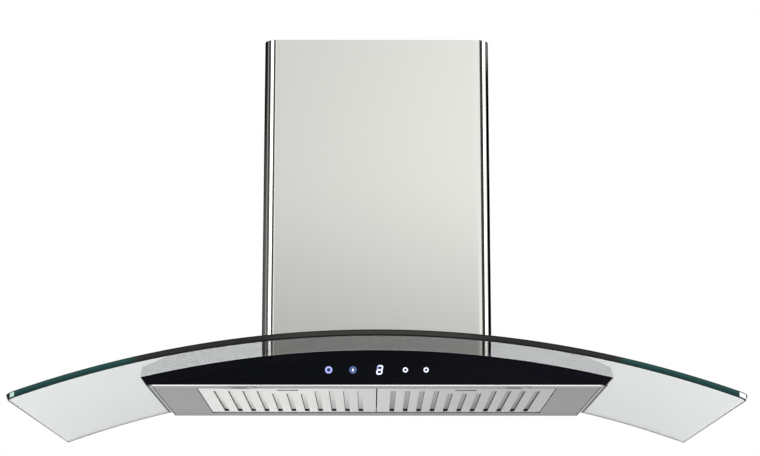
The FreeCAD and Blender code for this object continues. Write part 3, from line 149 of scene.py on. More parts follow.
def between(tree, value, rise, fall):
    """1 between two lines: up to it over the rise, down again over the fall."""
    return times(tree, ramp(tree, value, *rise), ramp(tree, value, *reversed(fall)))


def blend(tree, factor, first, second, mode="MIX"):
    """Mix two colours."""
    made = node(tree, "ShaderNodeMix", data_type="RGBA", blend_type=mode)
    for place, value in ((0, factor), (6, first), (7, second)):
        link(tree, value, made.inputs[place])
    return made.outputs[2]


def grey(tree, level):
    """A level as a colour."""
    return node(tree, "ShaderNodeCombineXYZ", {0: level, 1: level, 2: level}).outputs[0]


def toned(tree, colour, level):
    """A colour made lighter or darker by a level."""
    return blend(tree, 1.0, colour, grey(tree, level), "MULTIPLY")


def effect(name, inputs):
    """An empty shader group with named inputs, which puts out a colour, a roughness and a height."""
    group = bpy.data.node_groups.new(name, "ShaderNodeTree")
    for label, kind, value in inputs:
        socket = group.interface.new_socket(label, in_out="INPUT", socket_type="NodeSocket" + kind)
        socket.default_value = value
    for label, kind in (("Colour", "Color"), ("Roughness", "Float"), ("Height", "Float")):
        group.interface.new_socket(label, in_out="OUTPUT", socket_type="NodeSocket" + kind)
    return group, group.nodes.new("NodeGroupInput").outputs, group.nodes.new("NodeGroupOutput").inputs


def object_place(tree):
    return tree.nodes.new("ShaderNodeTexCoord").outputs["Object"]


def axes(tree):
    """The place on the object along X, Y and Z."""
    return node(tree, "ShaderNodeSeparateXYZ", {0: object_place(tree)}).outputs


def noise(tree, place, scale, detail=2.0, rough=0.5):
    made = node(tree, "ShaderNodeTexNoise",
                {"Vector": place, "Scale": scale, "Detail": detail, "Roughness": rough})
    return made.outputs["Fac"]


# ---- Effects that several finishes share ------------------------------------------------------

def make_brushing():
    """Fine lines from the polishing belt, with faint cloudy patches."""
    group, given, result = effect("belt_brushing", (
        ("Colour", "Color", (0.6, 0.6, 0.6, 1)),
        ("Grain", "Vector", (8, 900, 900)),
        ("Roughness", "Float", 0.2),
        ("Spread", "Float", 0.1),
        ("Contrast", "Float", 0.06)))
    place = object_place(group)
    stretched = node(group, "ShaderNodeVectorMath", {0: place, 1: given["Grain"]}, operation="MULTIPLY")
    lines = noise(group, stretched.outputs[0], 1.0, 3.0, 0.6)
    clouds = noise(group, place, 4.0, 2.0)
    tone, wander = (plus(group, swing(group, lines, given[amount]), swing(group, clouds, given[amount]))
                    for amount in ("Contrast", "Spread"))
    link(group, toned(group, given["Colour"], plus(group, tone, 1.0)), result["Colour"])
    link(group, plus(group, given["Roughness"], wander, True), result["Roughness"])
    link(group, lines, result["Height"])
    return group


def make_spangle():
    """The crystal pattern of zinc on sheet steel."""
    group, given, result = effect("zinc_spangle", (
        ("Light", "Color", (0.62, 0.63, 0.65, 1)),
        ("Dark", "Color", (0.46, 0.47, 0.49, 1)),
        ("Size", "Float", 90.0),
        ("Roughness", "Float", 0.42)))
    place = object_place(group)
    cells = node(group, "ShaderNodeTexVoronoi", {"Vector": place, "Scale": given["Size"]})
    shade = node(group, "ShaderNodeSeparateColor", {0: cells.outputs["Color"]}).outputs[0]
    fine = noise(group, place, 260.0, 3.0)
    link(group, blend(group, shade, given["Dark"], given["Light"]), result["Colour"])
    link(group, plus(group, given["Roughness"], swing(group, shade, 0.25), True), result["Roughness"])
    link(group, plus(group, times(group, shade, 0.4), fine), result["Height"])
    return group


def make_moulding():
    """Fine spark-eroded texture of a mould, with slight flow marks in the colour."""
    group, given, result = effect("mould_texture", (
        ("Colour", "Color", (0.05, 0.05, 0.05, 1)),
        ("Fineness", "Float", 900.0),
        ("Roughness", "Float", 0.5),
        ("Mottle", "Float", 0.2)))
    place = object_place(group)
    fine = noise(group, place, given["Fineness"], 2.0)
    flow = swing(group, noise(group, place, 22.0, 3.0), given["Mottle"])
    link(group, toned(group, given["Colour"], plus(group, flow, 1.0)), result["Colour"])
    link(group, plus(group, given["Roughness"], flow, True), result["Roughness"])
    link(group, fine, result["Height"])
    return group


BRUSHING = make_brushing()
SPANGLE = make_spangle()
MOULDING = make_moulding()


# ---- Finishes ---------------------------------------------------------------------------------

def finish(name, **plain):
    """A material with its surface shader; plain sets the shader's own sockets."""
    material = bpy.data.materials.new(name)
    material.use_nodes = True
    tree = material.node_tree
    surface = tree.nodes["Principled BSDF"]
    for label, value in plain.items():
        surface.inputs[label.replace("_", " ")].default_value = value
    return material, tree, surface


def emboss(tree, surface, height, strength, distance):
    """Give a surface its fine relief."""
    relief = node(tree, "ShaderNodeBump", {"Strength": strength, "Distance": distance, "Height": height})
    link(tree, relief.outputs[0], surface.inputs["Normal"])


def dressed(name, group, values, depth, strength=0.3, **plain):
    """A finish whose colour, roughness and relief come from one shared effect."""
    material, tree, surface = finish(name, **plain)
    worn = node(tree, "ShaderNodeGroup", node_tree=group)
    for label, value in values.items():
        worn.inputs[label].default_value = value
    link(tree, worn.outputs["Colour"], surface.inputs["Base Color"])
    link(tree, worn.outputs["Roughness"], surface.inputs["Roughness"])
    emboss(tree, surface, worn.outputs["Height"], strength, depth)
    return material


def brushed(name, code, grain, roughness, spread=0.08, contrast=0.08, depth=0.00002, strength=0.15):
    return dressed(name, BRUSHING, {"Colour": linear(code), "Grain": grain, "Roughness": roughness,
                                    "Spread": spread, "Contrast": contrast}, depth, strength, Metallic=1.0)


def moulded(name, code, roughness, fineness=900.0, mottle=0.2, depth=0.00005, **plain):
    return dressed(name, MOULDING, {"Colour": linear(code), "Fineness": fineness, "Roughness": roughness,
                                    "Mottle": mottle}, depth, 0.35, **plain)


def opened(material):
    """A dressed finish's tree, its surface shader and its shared effect."""
    tree = material.node_tree
    return tree, tree.nodes["Principled BSDF"], next(n for n in tree.nodes if n.type == "GROUP")


def shade_along(material, axis, tones):
    """Let a brushed finish change its colour along an axis; tones are places in metres and colours."""
    tree, _, worn = opened(material)
    place = axes(tree)[axis]
    colour = linear(tones[0][1])
    for (start, _), (end, code) in zip(tones, tones[1:]):
        colour = blend(tree, ramp(tree, place, start, end), colour, linear(code))
    link(tree, colour, worn.inputs["Colour"])


def darken(tree, worn, level):
    """Multiply the colour of a finish that is shaded along an axis."""
    target = worn.inputs["Colour"]
    link(tree, toned(tree, target.links[0].from_socket, level), target)


def shade_rearward(material, front, rear, low):
    """Let such a finish also grow darker from a front line to a rear line, as painted shade."""
    tree, _, worn = opened(material)
    darken(tree, worn, ramp(tree, axes(tree)[1], front, rear, 1.0, low))


def shade_slot_sides(material, left, right, low):
    """Darken the filters' channels outside two lines about the middle of each slot under them: painted shadow
    along the slots' edges.
    """
    tree, _, worn = opened(material)
    x = axes(tree)[0]
    own = minus(tree, x, times(tree, maths(tree, "SIGN", x), FILTER_MIDDLE * MM))
    half = SLOT_PITCH * MM / 2
    aside = node(tree, "ShaderNodeMath", {0: own, 1: half, 2: -half}, operation="WRAP").outputs[0]
    dark = maths(tree, "MAXIMUM", ramp(tree, aside, left + 0.0005, left),
                 ramp(tree, aside, right, right + 0.0004))
    darken(tree, worn, minus(tree, 1.0, times(tree, dark, 1.0 - low)))


ACROSS = (10, 1100, 1100)       # brushing along X
DEPTHWISE = (1100, 12, 1100)    # brushing along Y


def make_clear_glass():
    material, tree, surface = finish("clear_glass", Metallic=0.0, Roughness=0.0, IOR=1.5,
                                     Transmission_Weight=1.0)
    surface.inputs["Base Color"].default_value = (1, 1, 1, 1)
    smears = noise(tree, object_place(tree), 7.0, 3.0)
    link(tree, ramp(tree, smears, 0.45, 0.8, 0.0, 0.002), surface.inputs["Roughness"])
    tint = node(tree, "ShaderNodeVolumeAbsorption", {"Color": (0.72, 0.90, 0.92, 1), "Density": 9.0})
    link(tree, tint.outputs[0], tree.nodes["Material Output"].inputs["Volume"])
    return material


def make_glass_edge():
    """The polished edge: deep green, lighter towards its top as painted light, almost black in front of the
    body as a painted view of the dark body behind it, painted darker at its arrises as painted shade.
    """
    material, tree, surface = finish("polished_glass_edge", Metallic=0.0, Roughness=0.12, IOR=1.5,
                                     Specular_IOR_Level=0.15)
    across, _, height = axes(tree)
    away = maths(tree, "ABSOLUTE", across)
    rise = minus(tree, height, up(ARCH_AXIS))
    radius = maths(tree, "SQRT", plus(tree, times(tree, across, across), times(tree, rise, rise)))
    level = ramp(tree, radius, GLASS_RADIUS * MM, (GLASS_RADIUS + GLASS_THICKNESS) * MM, smooth=False)
    streaks = node(tree, "ShaderNodeVectorMath", {0: object_place(tree), 1: (3, 3, 700)},
                   operation="MULTIPLY")
    bands = noise(tree, streaks.outputs[0], 1.0, 2.0)
    # The green is painted lighter towards the edge's top face and darker towards its underside: painted
    # light.
    green = blend(tree, ramp(tree, level, 0.35, 0.7), linear("0A2B29"), linear("173D3B"))
    # In front of the body the edge is painted brown and olive: a painted view of the dark body seen in it.
    brown = blend(tree, bands, linear("191818"), linear("252321"))
    olive = blend(tree, ramp(tree, away, 0.15, 0.09), brown, linear("2A2D29"))
    past_body = ramp(tree, away, 0.283, 0.306)
    core = blend(tree, past_body, olive, green)
    # Above and below the band's middle the arrises are painted darker: painted shade.
    arris = blend(tree, past_body, linear("0B0A0A"), linear("0B2A28"))
    # The rounded front corners get a painted highlight, then a painted dark end standing in for shade.
    light = blend(tree, ramp(tree, across, -0.1, 0.1), linear("A9C2BA"), linear("E4E8E6"))
    with_painted_highlight = blend(tree, ramp(tree, away, 0.4381, 0.4384), core, light)
    end = maths(tree, "MAXIMUM", ramp(tree, across, -0.4434, -0.4439), ramp(tree, across, 0.4466, 0.4471))
    with_painted_corners = blend(tree, end, with_painted_highlight, linear("080D0B"))
    inside = between(tree, level, (0.12, 0.34), (0.72, 0.94))
    link(tree, blend(tree, inside, arris, with_painted_corners), surface.inputs["Base Color"])
    link(tree, ramp(tree, bands, 0.2, 0.8, 0.08, 0.2), surface.inputs["Roughness"])
    return material


def make_black_glass():
    material, tree, surface = finish("black_panel_glass", Metallic=0.0, Roughness=0.04, IOR=1.5,
                                     Specular_IOR_Level=0.06)
    place = object_place(tree)
    ink = blend(tree, noise(tree, place, 5.0, 2.0), linear("07090C"), linear("0A0C12"))
    plum = blend(tree, ramp(tree, axes(tree)[0], 0.0, 0.25), ink, linear("0F0D16"))
    link(tree, plum, surface.inputs["Base Color"])
    wiped = noise(tree, place, 16.0, 4.0)
    link(tree, ramp(tree, wiped, 0.4, 0.8, 0.02, 0.07), surface.inputs["Roughness"])
    return material


def make_trim_metal():
    """Satin grey strip with a painted highlight along its inner bead, near-white and less metallic, painted
    shade in the groove beside it and a dark outer line.
    """
    material = brushed("satin_trim_aluminium", "7D8789", DEPTHWISE, 0.3)
    tree, surface, worn = opened(material)
    away = maths(tree, "ABSOLUTE", axes(tree)[0])
    # Painted highlight along the inner bead and painted shade in the groove beside it.
    bead = ramp(tree, away, 0.2879, 0.2876)
    groove = between(tree, away, (0.2878, 0.2880), (0.2887, 0.2889))
    dark = maths(tree, "MAXIMUM", ramp(tree, away, 0.2907, 0.2911), groove)
    bright = blend(tree, bead, worn.outputs["Colour"], linear("FAFAF8"))
    link(tree, blend(tree, dark, bright, linear("3A4042")), surface.inputs["Base Color"])
    link(tree, ramp(tree, bead, 0.0, 1.0, 1.0, 0.35), surface.inputs["Metallic"])
    return material


def make_cover_steel():
    """Brushed stainless; the bends between the front and the sides are painted darker, in the colour and in
    the specular tint: painted dark reflections.
    """
    material = brushed("brushed_cover_steel", "D9D9D4", ACROSS, 0.1, 0.03, 0.03, 0.00001, 0.02)
    tree, surface, worn = opened(material)
    across, depth, height = axes(tree)
    # Painted dark reflections on the left and the right bend, their depth changing with height.
    bend = ramp(tree, depth, -0.2330, -0.2336)
    left = times(tree, ramp(tree, across, -0.1498, -0.1504), ramp(tree, height, 0.05, 0.30, 0.70, 0.90))
    right = times(tree, ramp(tree, across, 0.1502, 0.1510), ramp(tree, height, 0.27, 0.325, 0.995, 0.7))
    painted_reflection_tone = minus(tree, 1.0, times(tree, bend, plus(tree, left, right)))
    link(tree, toned(tree, worn.outputs["Colour"], painted_reflection_tone), surface.inputs["Base Color"])
    link(tree, grey(tree, painted_reflection_tone), surface.inputs["Specular Tint"])
    return material


def make_lens():
    """Frosted lens with the grid of small prisms on its back, darker in its middle."""
    material, tree, surface = finish("frosted_lens", Metallic=0.0, Roughness=0.35, IOR=1.49)
    prisms = node(tree, "ShaderNodeTexVoronoi", {"Vector": object_place(tree), "Scale": 520.0},
                  distance="CHEBYCHEV").outputs["Distance"]
    away = maths(tree, "ABSOLUTE", axes(tree)[0])
    off_centre = maths(tree, "ABSOLUTE", minus(tree, away, LAMP_CENTRE * MM))
    cells = blend(tree, prisms, linear("3C4043"), linear("5C6164"))
    link(tree, blend(tree, ramp(tree, off_centre, 0.007, 0.014), cells, linear("B4B8BA")),
         surface.inputs["Base Color"])
    link(tree, ramp(tree, prisms, 0.0, 0.8, 0.25, 0.45), surface.inputs["Roughness"])
    emboss(tree, surface, prisms, 0.4, 0.0002)
    return material


def make_circuit():
    """Green solder mask over copper tracks."""
    material, tree, surface = finish("solder_mask", Metallic=0.0, Roughness=0.35, IOR=1.5)
    place = object_place(tree)
    tracks = node(tree, "ShaderNodeTexBrick",
                  {"Vector": place, "Color1": linear("0E4A2A"), "Color2": linear("0B3D22"),
                   "Mortar": linear("1F6B43"), "Scale": 120.0, "Mortar Size": 0.03})
    fine = noise(tree, place, 600.0, 2.0)
    link(tree, tracks.outputs["Color"], surface.inputs["Base Color"])
    link(tree, ramp(tree, fine, 0.3, 0.7, 0.28, 0.42), surface.inputs["Roughness"])
    emboss(tree, surface, tracks.outputs["Fac"], 0.3, 0.0001)
    return material


def make_lit(name, code, glow):
    """Light behind the panel: a little uneven, as through printed film."""
    material, tree, surface = finish(name, Metallic=0.0, Roughness=0.3, Emission_Strength=glow)
    film = noise(tree, object_place(tree), 700.0, 2.0)
    shade = tuple(c * 0.8 for c in linear(code)[:3]) + (1,)
    lit = blend(tree, film, shade, linear(code))
    link(tree, lit, surface.inputs["Emission Color"])
    link(tree, blend(tree, 0.5, (0, 0, 0, 1), lit), surface.inputs["Base Color"])
    link(tree, ramp(tree, film, 0.3, 0.7, 0.25, 0.4), surface.inputs["Roughness"])
    return material


cover_steel = make_cover_steel()
underside_steel = brushed("satin_underside", "B4B5B3", ACROSS, 0.30, 0.06, 0.06)
shade_along(underside_steel, 1, ((-0.106, "B4B5B3"), (-0.088, "ACA7AD")))
sill_steel = brushed("satin_sill", "9A959A", ACROSS, 0.32, 0.06, 0.06)
filter_steel = brushed("brushed_filter_steel", "E4E5E2", DEPTHWISE, 0.40, 0.10, 0.10)
# The faces are painted lighter at the left and darker towards the right: painted light, as the brushed faces
# catch the light from the left.
shade_along(filter_steel, 0, ((-0.10, "FFFFFD"), (0.0, "E6E7E5"), (0.10, "D6D7D5"), (0.22, "D2D3D0")))
channel_steel = brushed("plain_channel_steel", "C8C9C6", DEPTHWISE, 0.36, 0.10, 0.10)
# The channels seen through the slots are painted near-white under the left filter and grey under the right:
# painted light.
shade_along(channel_steel, 0, ((-0.16, "FFFFFD"), (-0.02, "F0F1EF"), (0.02, "B6B7B7"), (0.22, "B0B1B1")))
# Painted shade: the channels grow darker towards the slots' rear ends.
shade_rearward(channel_steel, -0.25, -0.14, 0.72)
# Painted shadow: dark lines along the slots' edges on the channels under them.
shade_slot_sides(channel_steel, -0.0029, 0.0032, 0.20)
# Near-black frames: partly dark zinc, partly painted shade, so that the frame seen through the slots' rear
# ends reads as the dark inside.
frame_steel = brushed("dark_frame_steel", "232425", (300, 300, 300), 0.5, 0.10, 0.15)
latch_steel = brushed("polished_latch_steel", "E8E8E4", ACROSS, 0.22)
hem_steel = brushed("bright_hem_steel", "FCFCFA", ACROSS, 0.18)
trim_metal = make_trim_metal()
plated_steel = brushed("zinc_plated_steel", "B9B8AE", (300, 300, 300), 0.34, 0.15, 0.15)
bezel_chrome = brushed("lamp_chrome", "E6E8EA", (40, 40, 40), 0.07, 0.03, 0.02)
zinc_sheet = dressed("galvanised_sheet", SPANGLE, {}, 0.00004, 0.2, Metallic=0.85)
shell_sheet = dressed("skin_passed_zinc_sheet", SPANGLE, {"Light": linear("D2D6D8"), "Dark": linear("C4C9CC"),
                                                          "Roughness": 0.34}, 0.00001, 0.05, Metallic=0.85)
motor_lacquer = moulded("motor_lacquer", "3A3B3E", 0.32, 500.0, 0.15, Coat_Weight=0.2)
black_rubber = moulded("black_rubber", "1A1A1B", 0.78, 1300.0, 0.25)
pad_rubber = moulded("touch_pad_silicone", "2A2A2E", 0.6, 1300.0, 0.2)
fan_plastic = moulded("fan_housing_plastic", "232427", 0.48)
impeller_plastic = moulded("impeller_plastic", "2C2D30", 0.4, 700.0, 0.25)
box_plastic = moulded("terminal_box_plastic", "2A2B2D", 0.5, 1100.0)
can_plastic = moulded("capacitor_plastic", "CFCFC8", 0.3, 500.0, 0.08)
smoked_plastic = moulded("smoked_display_plastic", "14141A", 0.15, 400.0, 0.1)
clear_glass = make_clear_glass()
glass_edge = make_glass_edge()
black_glass = make_black_glass()
lens_plastic = make_lens()
solder_mask = make_circuit()
lavender_light = make_lit("lavender_light", "A9B2F8", 1.0)
blue_light = make_lit("dim_blue_light", "5674B0", 0.95)
white_light = make_lit("white_light", "E6E8FF", 1.2)
pale_light = make_lit("pale_blue_light", "98A4E0", 1.0)
well_light = make_lit("dark_blue_light", "10174E", 0.7)

FINISHES = (
    (underside_steel, "bottom_plate"),
    (sill_steel, "rear_sill"),
    (filter_steel, "left_filter_face right_filter_face"),
    (channel_steel, "left_filter_baffles right_filter_baffles"),
    (frame_steel, "left_filter_frame right_filter_frame"),
    (latch_steel, "left_latch right_latch"),
    (cover_steel, "lower_duct_cover upper_duct_cover"),
    (trim_metal, "left_side_trim right_side_trim"),
    (shell_sheet, "body_shell"),
    (zinc_sheet, "motor_base_plate motor_box motor_box_lid outlet_box cover_clips"
                 " duct_cover_bracket filter_rail filter_catches"),
    (plated_steel, "clamp_bolts clamp_nuts board_screws lid_screws motor_screws motor_shaft"
                   " motor_bracket capacitor_clamp left_latch_spring right_latch_spring"),
    (bezel_chrome, "left_lamp_bezel right_lamp_bezel"),
    (lens_plastic, "left_lamp_lens right_lamp_lens"),
    (black_rubber, "glass_seal_lower glass_seal_upper glass_bushes body_edge_seal"),
    (pad_rubber, "touch_pads"),
    (fan_plastic, "left_blower_half right_blower_half inlet_rings outlet_collar"
                  " front_damper_flap rear_damper_flap"),
    (impeller_plastic, "impeller"),
    (box_plastic, "terminal_box terminal_lid cable_gland board_cover"),
    (can_plastic, "capacitor"),
    (smoked_plastic, "display_module"),
    (solder_mask, "control_board lamp_boards"),
    (motor_lacquer, "blower_motor"),
    (clear_glass, "glass_canopy"),
    (black_glass, "panel_glass"),
)


def finish_model_nodes():
    for material, names in FINISHES:
        for name in names.split():
            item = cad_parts[name]
            if not item.material_slots:
                item.data.materials.append(material)
            for place in item.material_slots:
                place.material = material


# ---- Mesh tools -------------------------------------------------------------------------------

def keep(name, mesh, body, stands_for=(), materials=(), sharp=35, stretch=()):
    """Make an object of a finished mesh and tell the frame what it rides on and replaces."""
    mesh.name = name
    for material in materials:
        mesh.materials.append(material)
    mesh.shade_smooth()
    mesh.set_sharp_from_angle(angle=math.radians(sharp))
    item = loose_object(name + "_plain", mesh)
    flatten = item.modifiers.new("large_faces_stay_flat", "WEIGHTED_NORMAL")
    flatten.weight = 100
    flatten.keep_sharp = True
    item = loose_object(name, baked(item))
    item.data.name = name
    if stretch:
        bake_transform(item)
    else:
        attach(item, body)
    if stands_for:
        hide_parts(*stands_for)


def baked(item):
    """The object's mesh with its modifiers applied, as a mesh of its own; the object goes."""
    depsgraph = bpy.context.evaluated_depsgraph_get()
    mesh = bpy.data.meshes.new_from_object(item.evaluated_get(depsgraph))
    bpy.data.objects.remove(item)
    return mesh


def loose_object(name, mesh):
    item = bpy.data.objects.new(name, mesh)
    bpy.context.scene.collection.objects.link(item)
    return item


def prisms(*pairs):
    """Closed solids, each between two rings of points, as one mesh with its faces outwards."""
    made = bmesh.new()
    for pair in pairs:
        near, far = ([made.verts.new(point) for point in ring] for ring in pair)
        made.faces.new(near)
        made.faces.new(reversed(far))
        for i in range(len(near)):
            j = (i + 1) % len(near)
            made.faces.new((near[j], near[i], far[i], far[j]))
    bmesh.ops.recalc_face_normals(made, faces=made.faces)
    return made


def filled_outline(points, height_low, height_high):
    """A slab from a closed outline in X and Y."""
    made = bmesh.new()
    low = [made.verts.new((x, y, height_low)) for x, y in points]
    high = [made.verts.new((x, y, height_high)) for x, y in points]
    made.faces.new(reversed(low))
    made.faces.new(high)
    count = len(points)
    for i in range(count):
        j = (i + 1) % count
        made.faces.new((low[i], low[j], high[j], high[i]))
    bmesh.ops.recalc_face_normals(made, faces=made.faces)
    return made


def rounded_box(half, front, rear, radii, steps=10):
    """Outline of a rectangle seen from above, counter-clockwise; radii start at the front left."""
    points = []
    corners = (((-half, -front), 180, radii[0]), ((half, -front), 270, radii[1]),
               ((half, -rear), 0, radii[2]), ((-half, -rear), 90, radii[3]))
    for (x, y), start, radius in corners:
        if radius <= 0:
            points.append((x, y))
            continue
        cx = x + (radius if x < 0 else -radius)
        cy = y + (radius if start in (180, 270) else -radius)
        for step in range(steps + 1):
            turn = math.radians(start + 90 * step / steps)
            points.append((cx + radius * math.cos(turn), cy + radius * math.sin(turn)))
    return points


def bevelled(made, width, segments, angle=50):
    """Round every edge of the mesh that is sharper than the angle."""
    edges = [e for e in made.edges if len(e.link_faces) == 2 and e.calc_face_angle() > math.radians(angle)]
    bmesh.ops.bevel(made, geom=edges, offset=width, segments=segments, profile=0.5, affect="EDGES")


def as_mesh(made, name):
    mesh = bpy.data.meshes.new(name)
    made.to_mesh(mesh)
    made.free()
    return mesh


# ---- Trees that shape what follows a rule -----------------------------------------------------

def shaping_tree(name, inputs):
    tree = bpy.data.node_groups.new(name, "GeometryNodeTree")
    tree.interface.new_socket("Geometry", in_out="INPUT", socket_type="NodeSocketGeometry")
    for label, kind, value in inputs:
        socket = tree.interface.new_socket(label, in_out="INPUT", socket_type="NodeSocket" + kind)
        if value is not None:
            socket.default_value = value
    tree.interface.new_socket("Geometry", in_out="OUTPUT", socket_type="NodeSocketGeometry")
    return tree, tree.nodes.new("NodeGroupInput").outputs, tree.nodes.new("NodeGroupOutput").inputs


def shaped(item, tree, values):
    """Run a shaping tree on an object and return the plain mesh."""
    modifier = item.modifiers.new(tree.name, "NODES")
    modifier.node_group = tree
    for entry in tree.interface.items_tree:
        if entry.item_type == "SOCKET" and entry.in_out == "INPUT" and entry.name in values:
            modifier[entry.identifier] = values[entry.name]
    return baked(item)


def make_bending_tree():
    """Bends a flat slab, whose underside lies at z = 0, over the arch; its rim gets the edge finish."""
    tree, given, result = shaping_tree("bend_over_arch", (
        ("Radius", "Float", 1.3), ("Axis Height", "Float", -1.4),
        ("Face", "Material", None), ("Edge", "Material", None)))
    normal = tree.nodes.new("GeometryNodeInputNormal").outputs[0]
    steep = maths(tree, "ABSOLUTE", node(tree, "ShaderNodeSeparateXYZ", {0: normal}).outputs[2])
    rim = node(tree, "FunctionNodeCompare", {0: steep, 1: 0.98}, data_type="FLOAT", operation="LESS_THAN")
    marked = node(tree, "GeometryNodeStoreNamedAttribute",
                  {"Geometry": given["Geometry"], "Name": "rim"}, data_type="BOOLEAN", domain="FACE")
    link(tree, rim.outputs[0], marked.inputs["Value"])
    place = node(tree, "ShaderNodeSeparateXYZ", {0: tree.nodes.new("GeometryNodeInputPosition").outputs[0]})
    turn = maths(tree, "DIVIDE", place.outputs[0], given["Radius"])
    reach = plus(tree, place.outputs[2], given["Radius"])
    x = times(tree, reach, maths(tree, "SINE", turn))
    z = plus(tree, times(tree, reach, maths(tree, "COSINE", turn)), given["Axis Height"])
    bent = node(tree, "ShaderNodeCombineXYZ", {0: x, 1: place.outputs[1], 2: z})
    moved = node(tree, "GeometryNodeSetPosition",
                 {"Geometry": marked.outputs[0], "Position": bent.outputs[0]})
    real = node(tree, "GeometryNodeRealizeInstances", {"Geometry": moved.outputs[0]})
    faces = node(tree, "GeometryNodeSetMaterial", {"Geometry": real.outputs[0], "Material": given["Face"]})
    again = node(tree, "GeometryNodeInputNamedAttribute", {"Name": "rim"}, data_type="BOOLEAN")
    edges = node(tree, "GeometryNodeSetMaterial",
                 {"Geometry": faces.outputs[0], "Selection": again.outputs[0], "Material": given["Edge"]})
    link(tree, edges.outputs[0], result["Geometry"])
    return tree


def spread_forward(tree, given, shape, material, result):
    """End a tree: the shape stands on every point with its top to the front, in its material."""
    turned = node(tree, "GeometryNodeTransform",
                  {"Geometry": shape.outputs[0], "Rotation": (math.pi / 2, 0, 0)})
    spread = node(tree, "GeometryNodeInstanceOnPoints",
                  {"Points": given["Geometry"], "Instance": turned.outputs[0]})
    real = node(tree, "GeometryNodeRealizeInstances", {"Geometry": spread.outputs[0]})
    done = node(tree, "GeometryNodeSetMaterial", {"Geometry": real.outputs[0], "Material": given[material]})
    link(tree, done.outputs[0], result["Geometry"])


def make_ring_tree():
    """Sets a flat lit ring on every point, facing the front."""
    tree, given, result = shaping_tree("lit_rings", (
        ("Outer", "Float", 0.005), ("Inner", "Float", 0.003), ("Thickness", "Float", 0.0001),
        ("Light", "Material", None)))
    both = tree.nodes.new("GeometryNodeJoinGeometry")
    for radius in ("Outer", "Inner"):
        circle = node(tree, "GeometryNodeCurvePrimitiveCircle", {"Resolution": 48, "Radius": given[radius]})
        link(tree, circle.outputs[0], both.inputs[0])
    flat = node(tree, "GeometryNodeFillCurve", {"Curve": both.outputs[0]})
    thick = node(tree, "GeometryNodeExtrudeMesh",
                 {"Mesh": flat.outputs[0], "Offset Scale": given["Thickness"], "Individual": False})
    spread_forward(tree, given, thick, "Light", result)
    return tree


def make_coil_tree():
    """Sets a coil spring on every point, running to the front."""
    tree, given, result = shaping_tree("coil_springs", (
        ("Radius", "Float", 0.002), ("Wire", "Float", 0.0003), ("Length", "Float", 0.02),
        ("Turns", "Float", 9.0), ("Metal", "Material", None)))
    coil = node(tree, "GeometryNodeCurveSpiral", {
        "Resolution": 18, "Rotations": given["Turns"], "Start Radius": given["Radius"],
        "End Radius": given["Radius"], "Height": given["Length"]})
    wire = node(tree, "GeometryNodeCurvePrimitiveCircle", {"Resolution": 8, "Radius": given["Wire"]})
    swept = node(tree, "GeometryNodeCurveToMesh",
                 {"Curve": coil.outputs[0], "Profile Curve": wire.outputs[0], "Fill Caps": True})
    spread_forward(tree, given, swept, "Metal", result)
    return tree


# ---- The glass canopy -------------------------------------------------------------------------

def arc_length(x):
    """How far from the middle a point of the top face at x lies, measured along the underside."""
    return GLASS_RADIUS * math.asin(x / (GLASS_RADIUS + GLASS_THICKNESS))


def make_canopy():
    half = arc_length(GLASS_HALF)
    outline = rounded_box(half, GLASS_DEPTH, 0, (GLASS_CORNER, GLASS_CORNER, 0, 0), 14)
    slab = filled_outline([(x * MM, y * MM) for x, y in outline], 0, GLASS_THICKNESS * MM)
    arris, columns = 1.1, 120
    bevelled(slab, arris * MM, 3)
    for column in range(1, columns):
        x = (-half + 2 * half * column / columns) * MM
        bmesh.ops.bisect_plane(slab, geom=slab.verts[:] + slab.edges[:] + slab.faces[:],
                               plane_co=(x, 0, 0), plane_no=(1, 0, 0))
    flat = loose_object("flat_glass", as_mesh(slab, "flat_glass"))
    cut_low, cut_high = -2, 12
    tools = [rounded_box(AIR_HALF, AIR_FRONT, AIR_REAR, [AIR_CORNER] * 4, 8)]
    for side in (-1, 1):
        for line in BOLT_LINES:
            x = side * GLASS_RADIUS * math.radians(BOLT_ANGLE)
            tools.append([(x + BUSH_RADIUS * math.cos(math.radians(15 * n)),
                           -line + BUSH_RADIUS * math.sin(math.radians(15 * n))) for n in range(24)])
    cutters = []
    for number, outline in enumerate(tools):
        prism = filled_outline([(x * MM, y * MM) for x, y in outline], cut_low * MM, cut_high * MM)
        cutter = loose_object(f"cutter_{number}", as_mesh(prism, "cutter"))
        modifier = flat.modifiers.new(f"cut_{number}", "BOOLEAN")
        modifier.object = cutter
        modifier.solver = "EXACT"
        cutters.append(cutter)
    flat = loose_object("flat_glass_cut", baked(flat))
    for cutter in cutters:
        bpy.data.objects.remove(cutter)
    mesh = shaped(flat, make_bending_tree(), {
        "Radius": GLASS_RADIUS * MM, "Axis Height": up(ARCH_AXIS), "Face": clear_glass, "Edge": glass_edge})
    keep("curved_glass", mesh, "hood", ("glass_canopy",))


# ---- The black control panel ------------------------------------------------------------------

def make_panel():
    top = GLASS_RADIUS - SEAT
    steps = 60
    outline = [(-PANEL_FOOT, PANEL_LOW), (PANEL_FOOT, PANEL_LOW)]
    for step in range(steps + 1):
        x = PANEL_HEAD - 2 * PANEL_HEAD * step / steps
        outline.append((x, arch(top, x)))
    slab = filled_outline([(x * MM, up(z)) for x, z in outline], 0, PANEL_THICKNESS * MM)
    turn = Matrix.Rotation(math.radians(90), 4, "X")
    bmesh.ops.transform(slab, matrix=Matrix.Translation((0, (PANEL_THICKNESS - PANEL_FRONT) * MM, 0)) @ turn,
                        verts=slab.verts)
    bevelled(slab, 0.7 * MM, 3, 25)
    keep("black_control_panel", as_mesh(slab, "panel"), "hood", ("panel_glass",),
         (black_glass,), 30)


# ---- The duct covers --------------------------------------------------------------------------

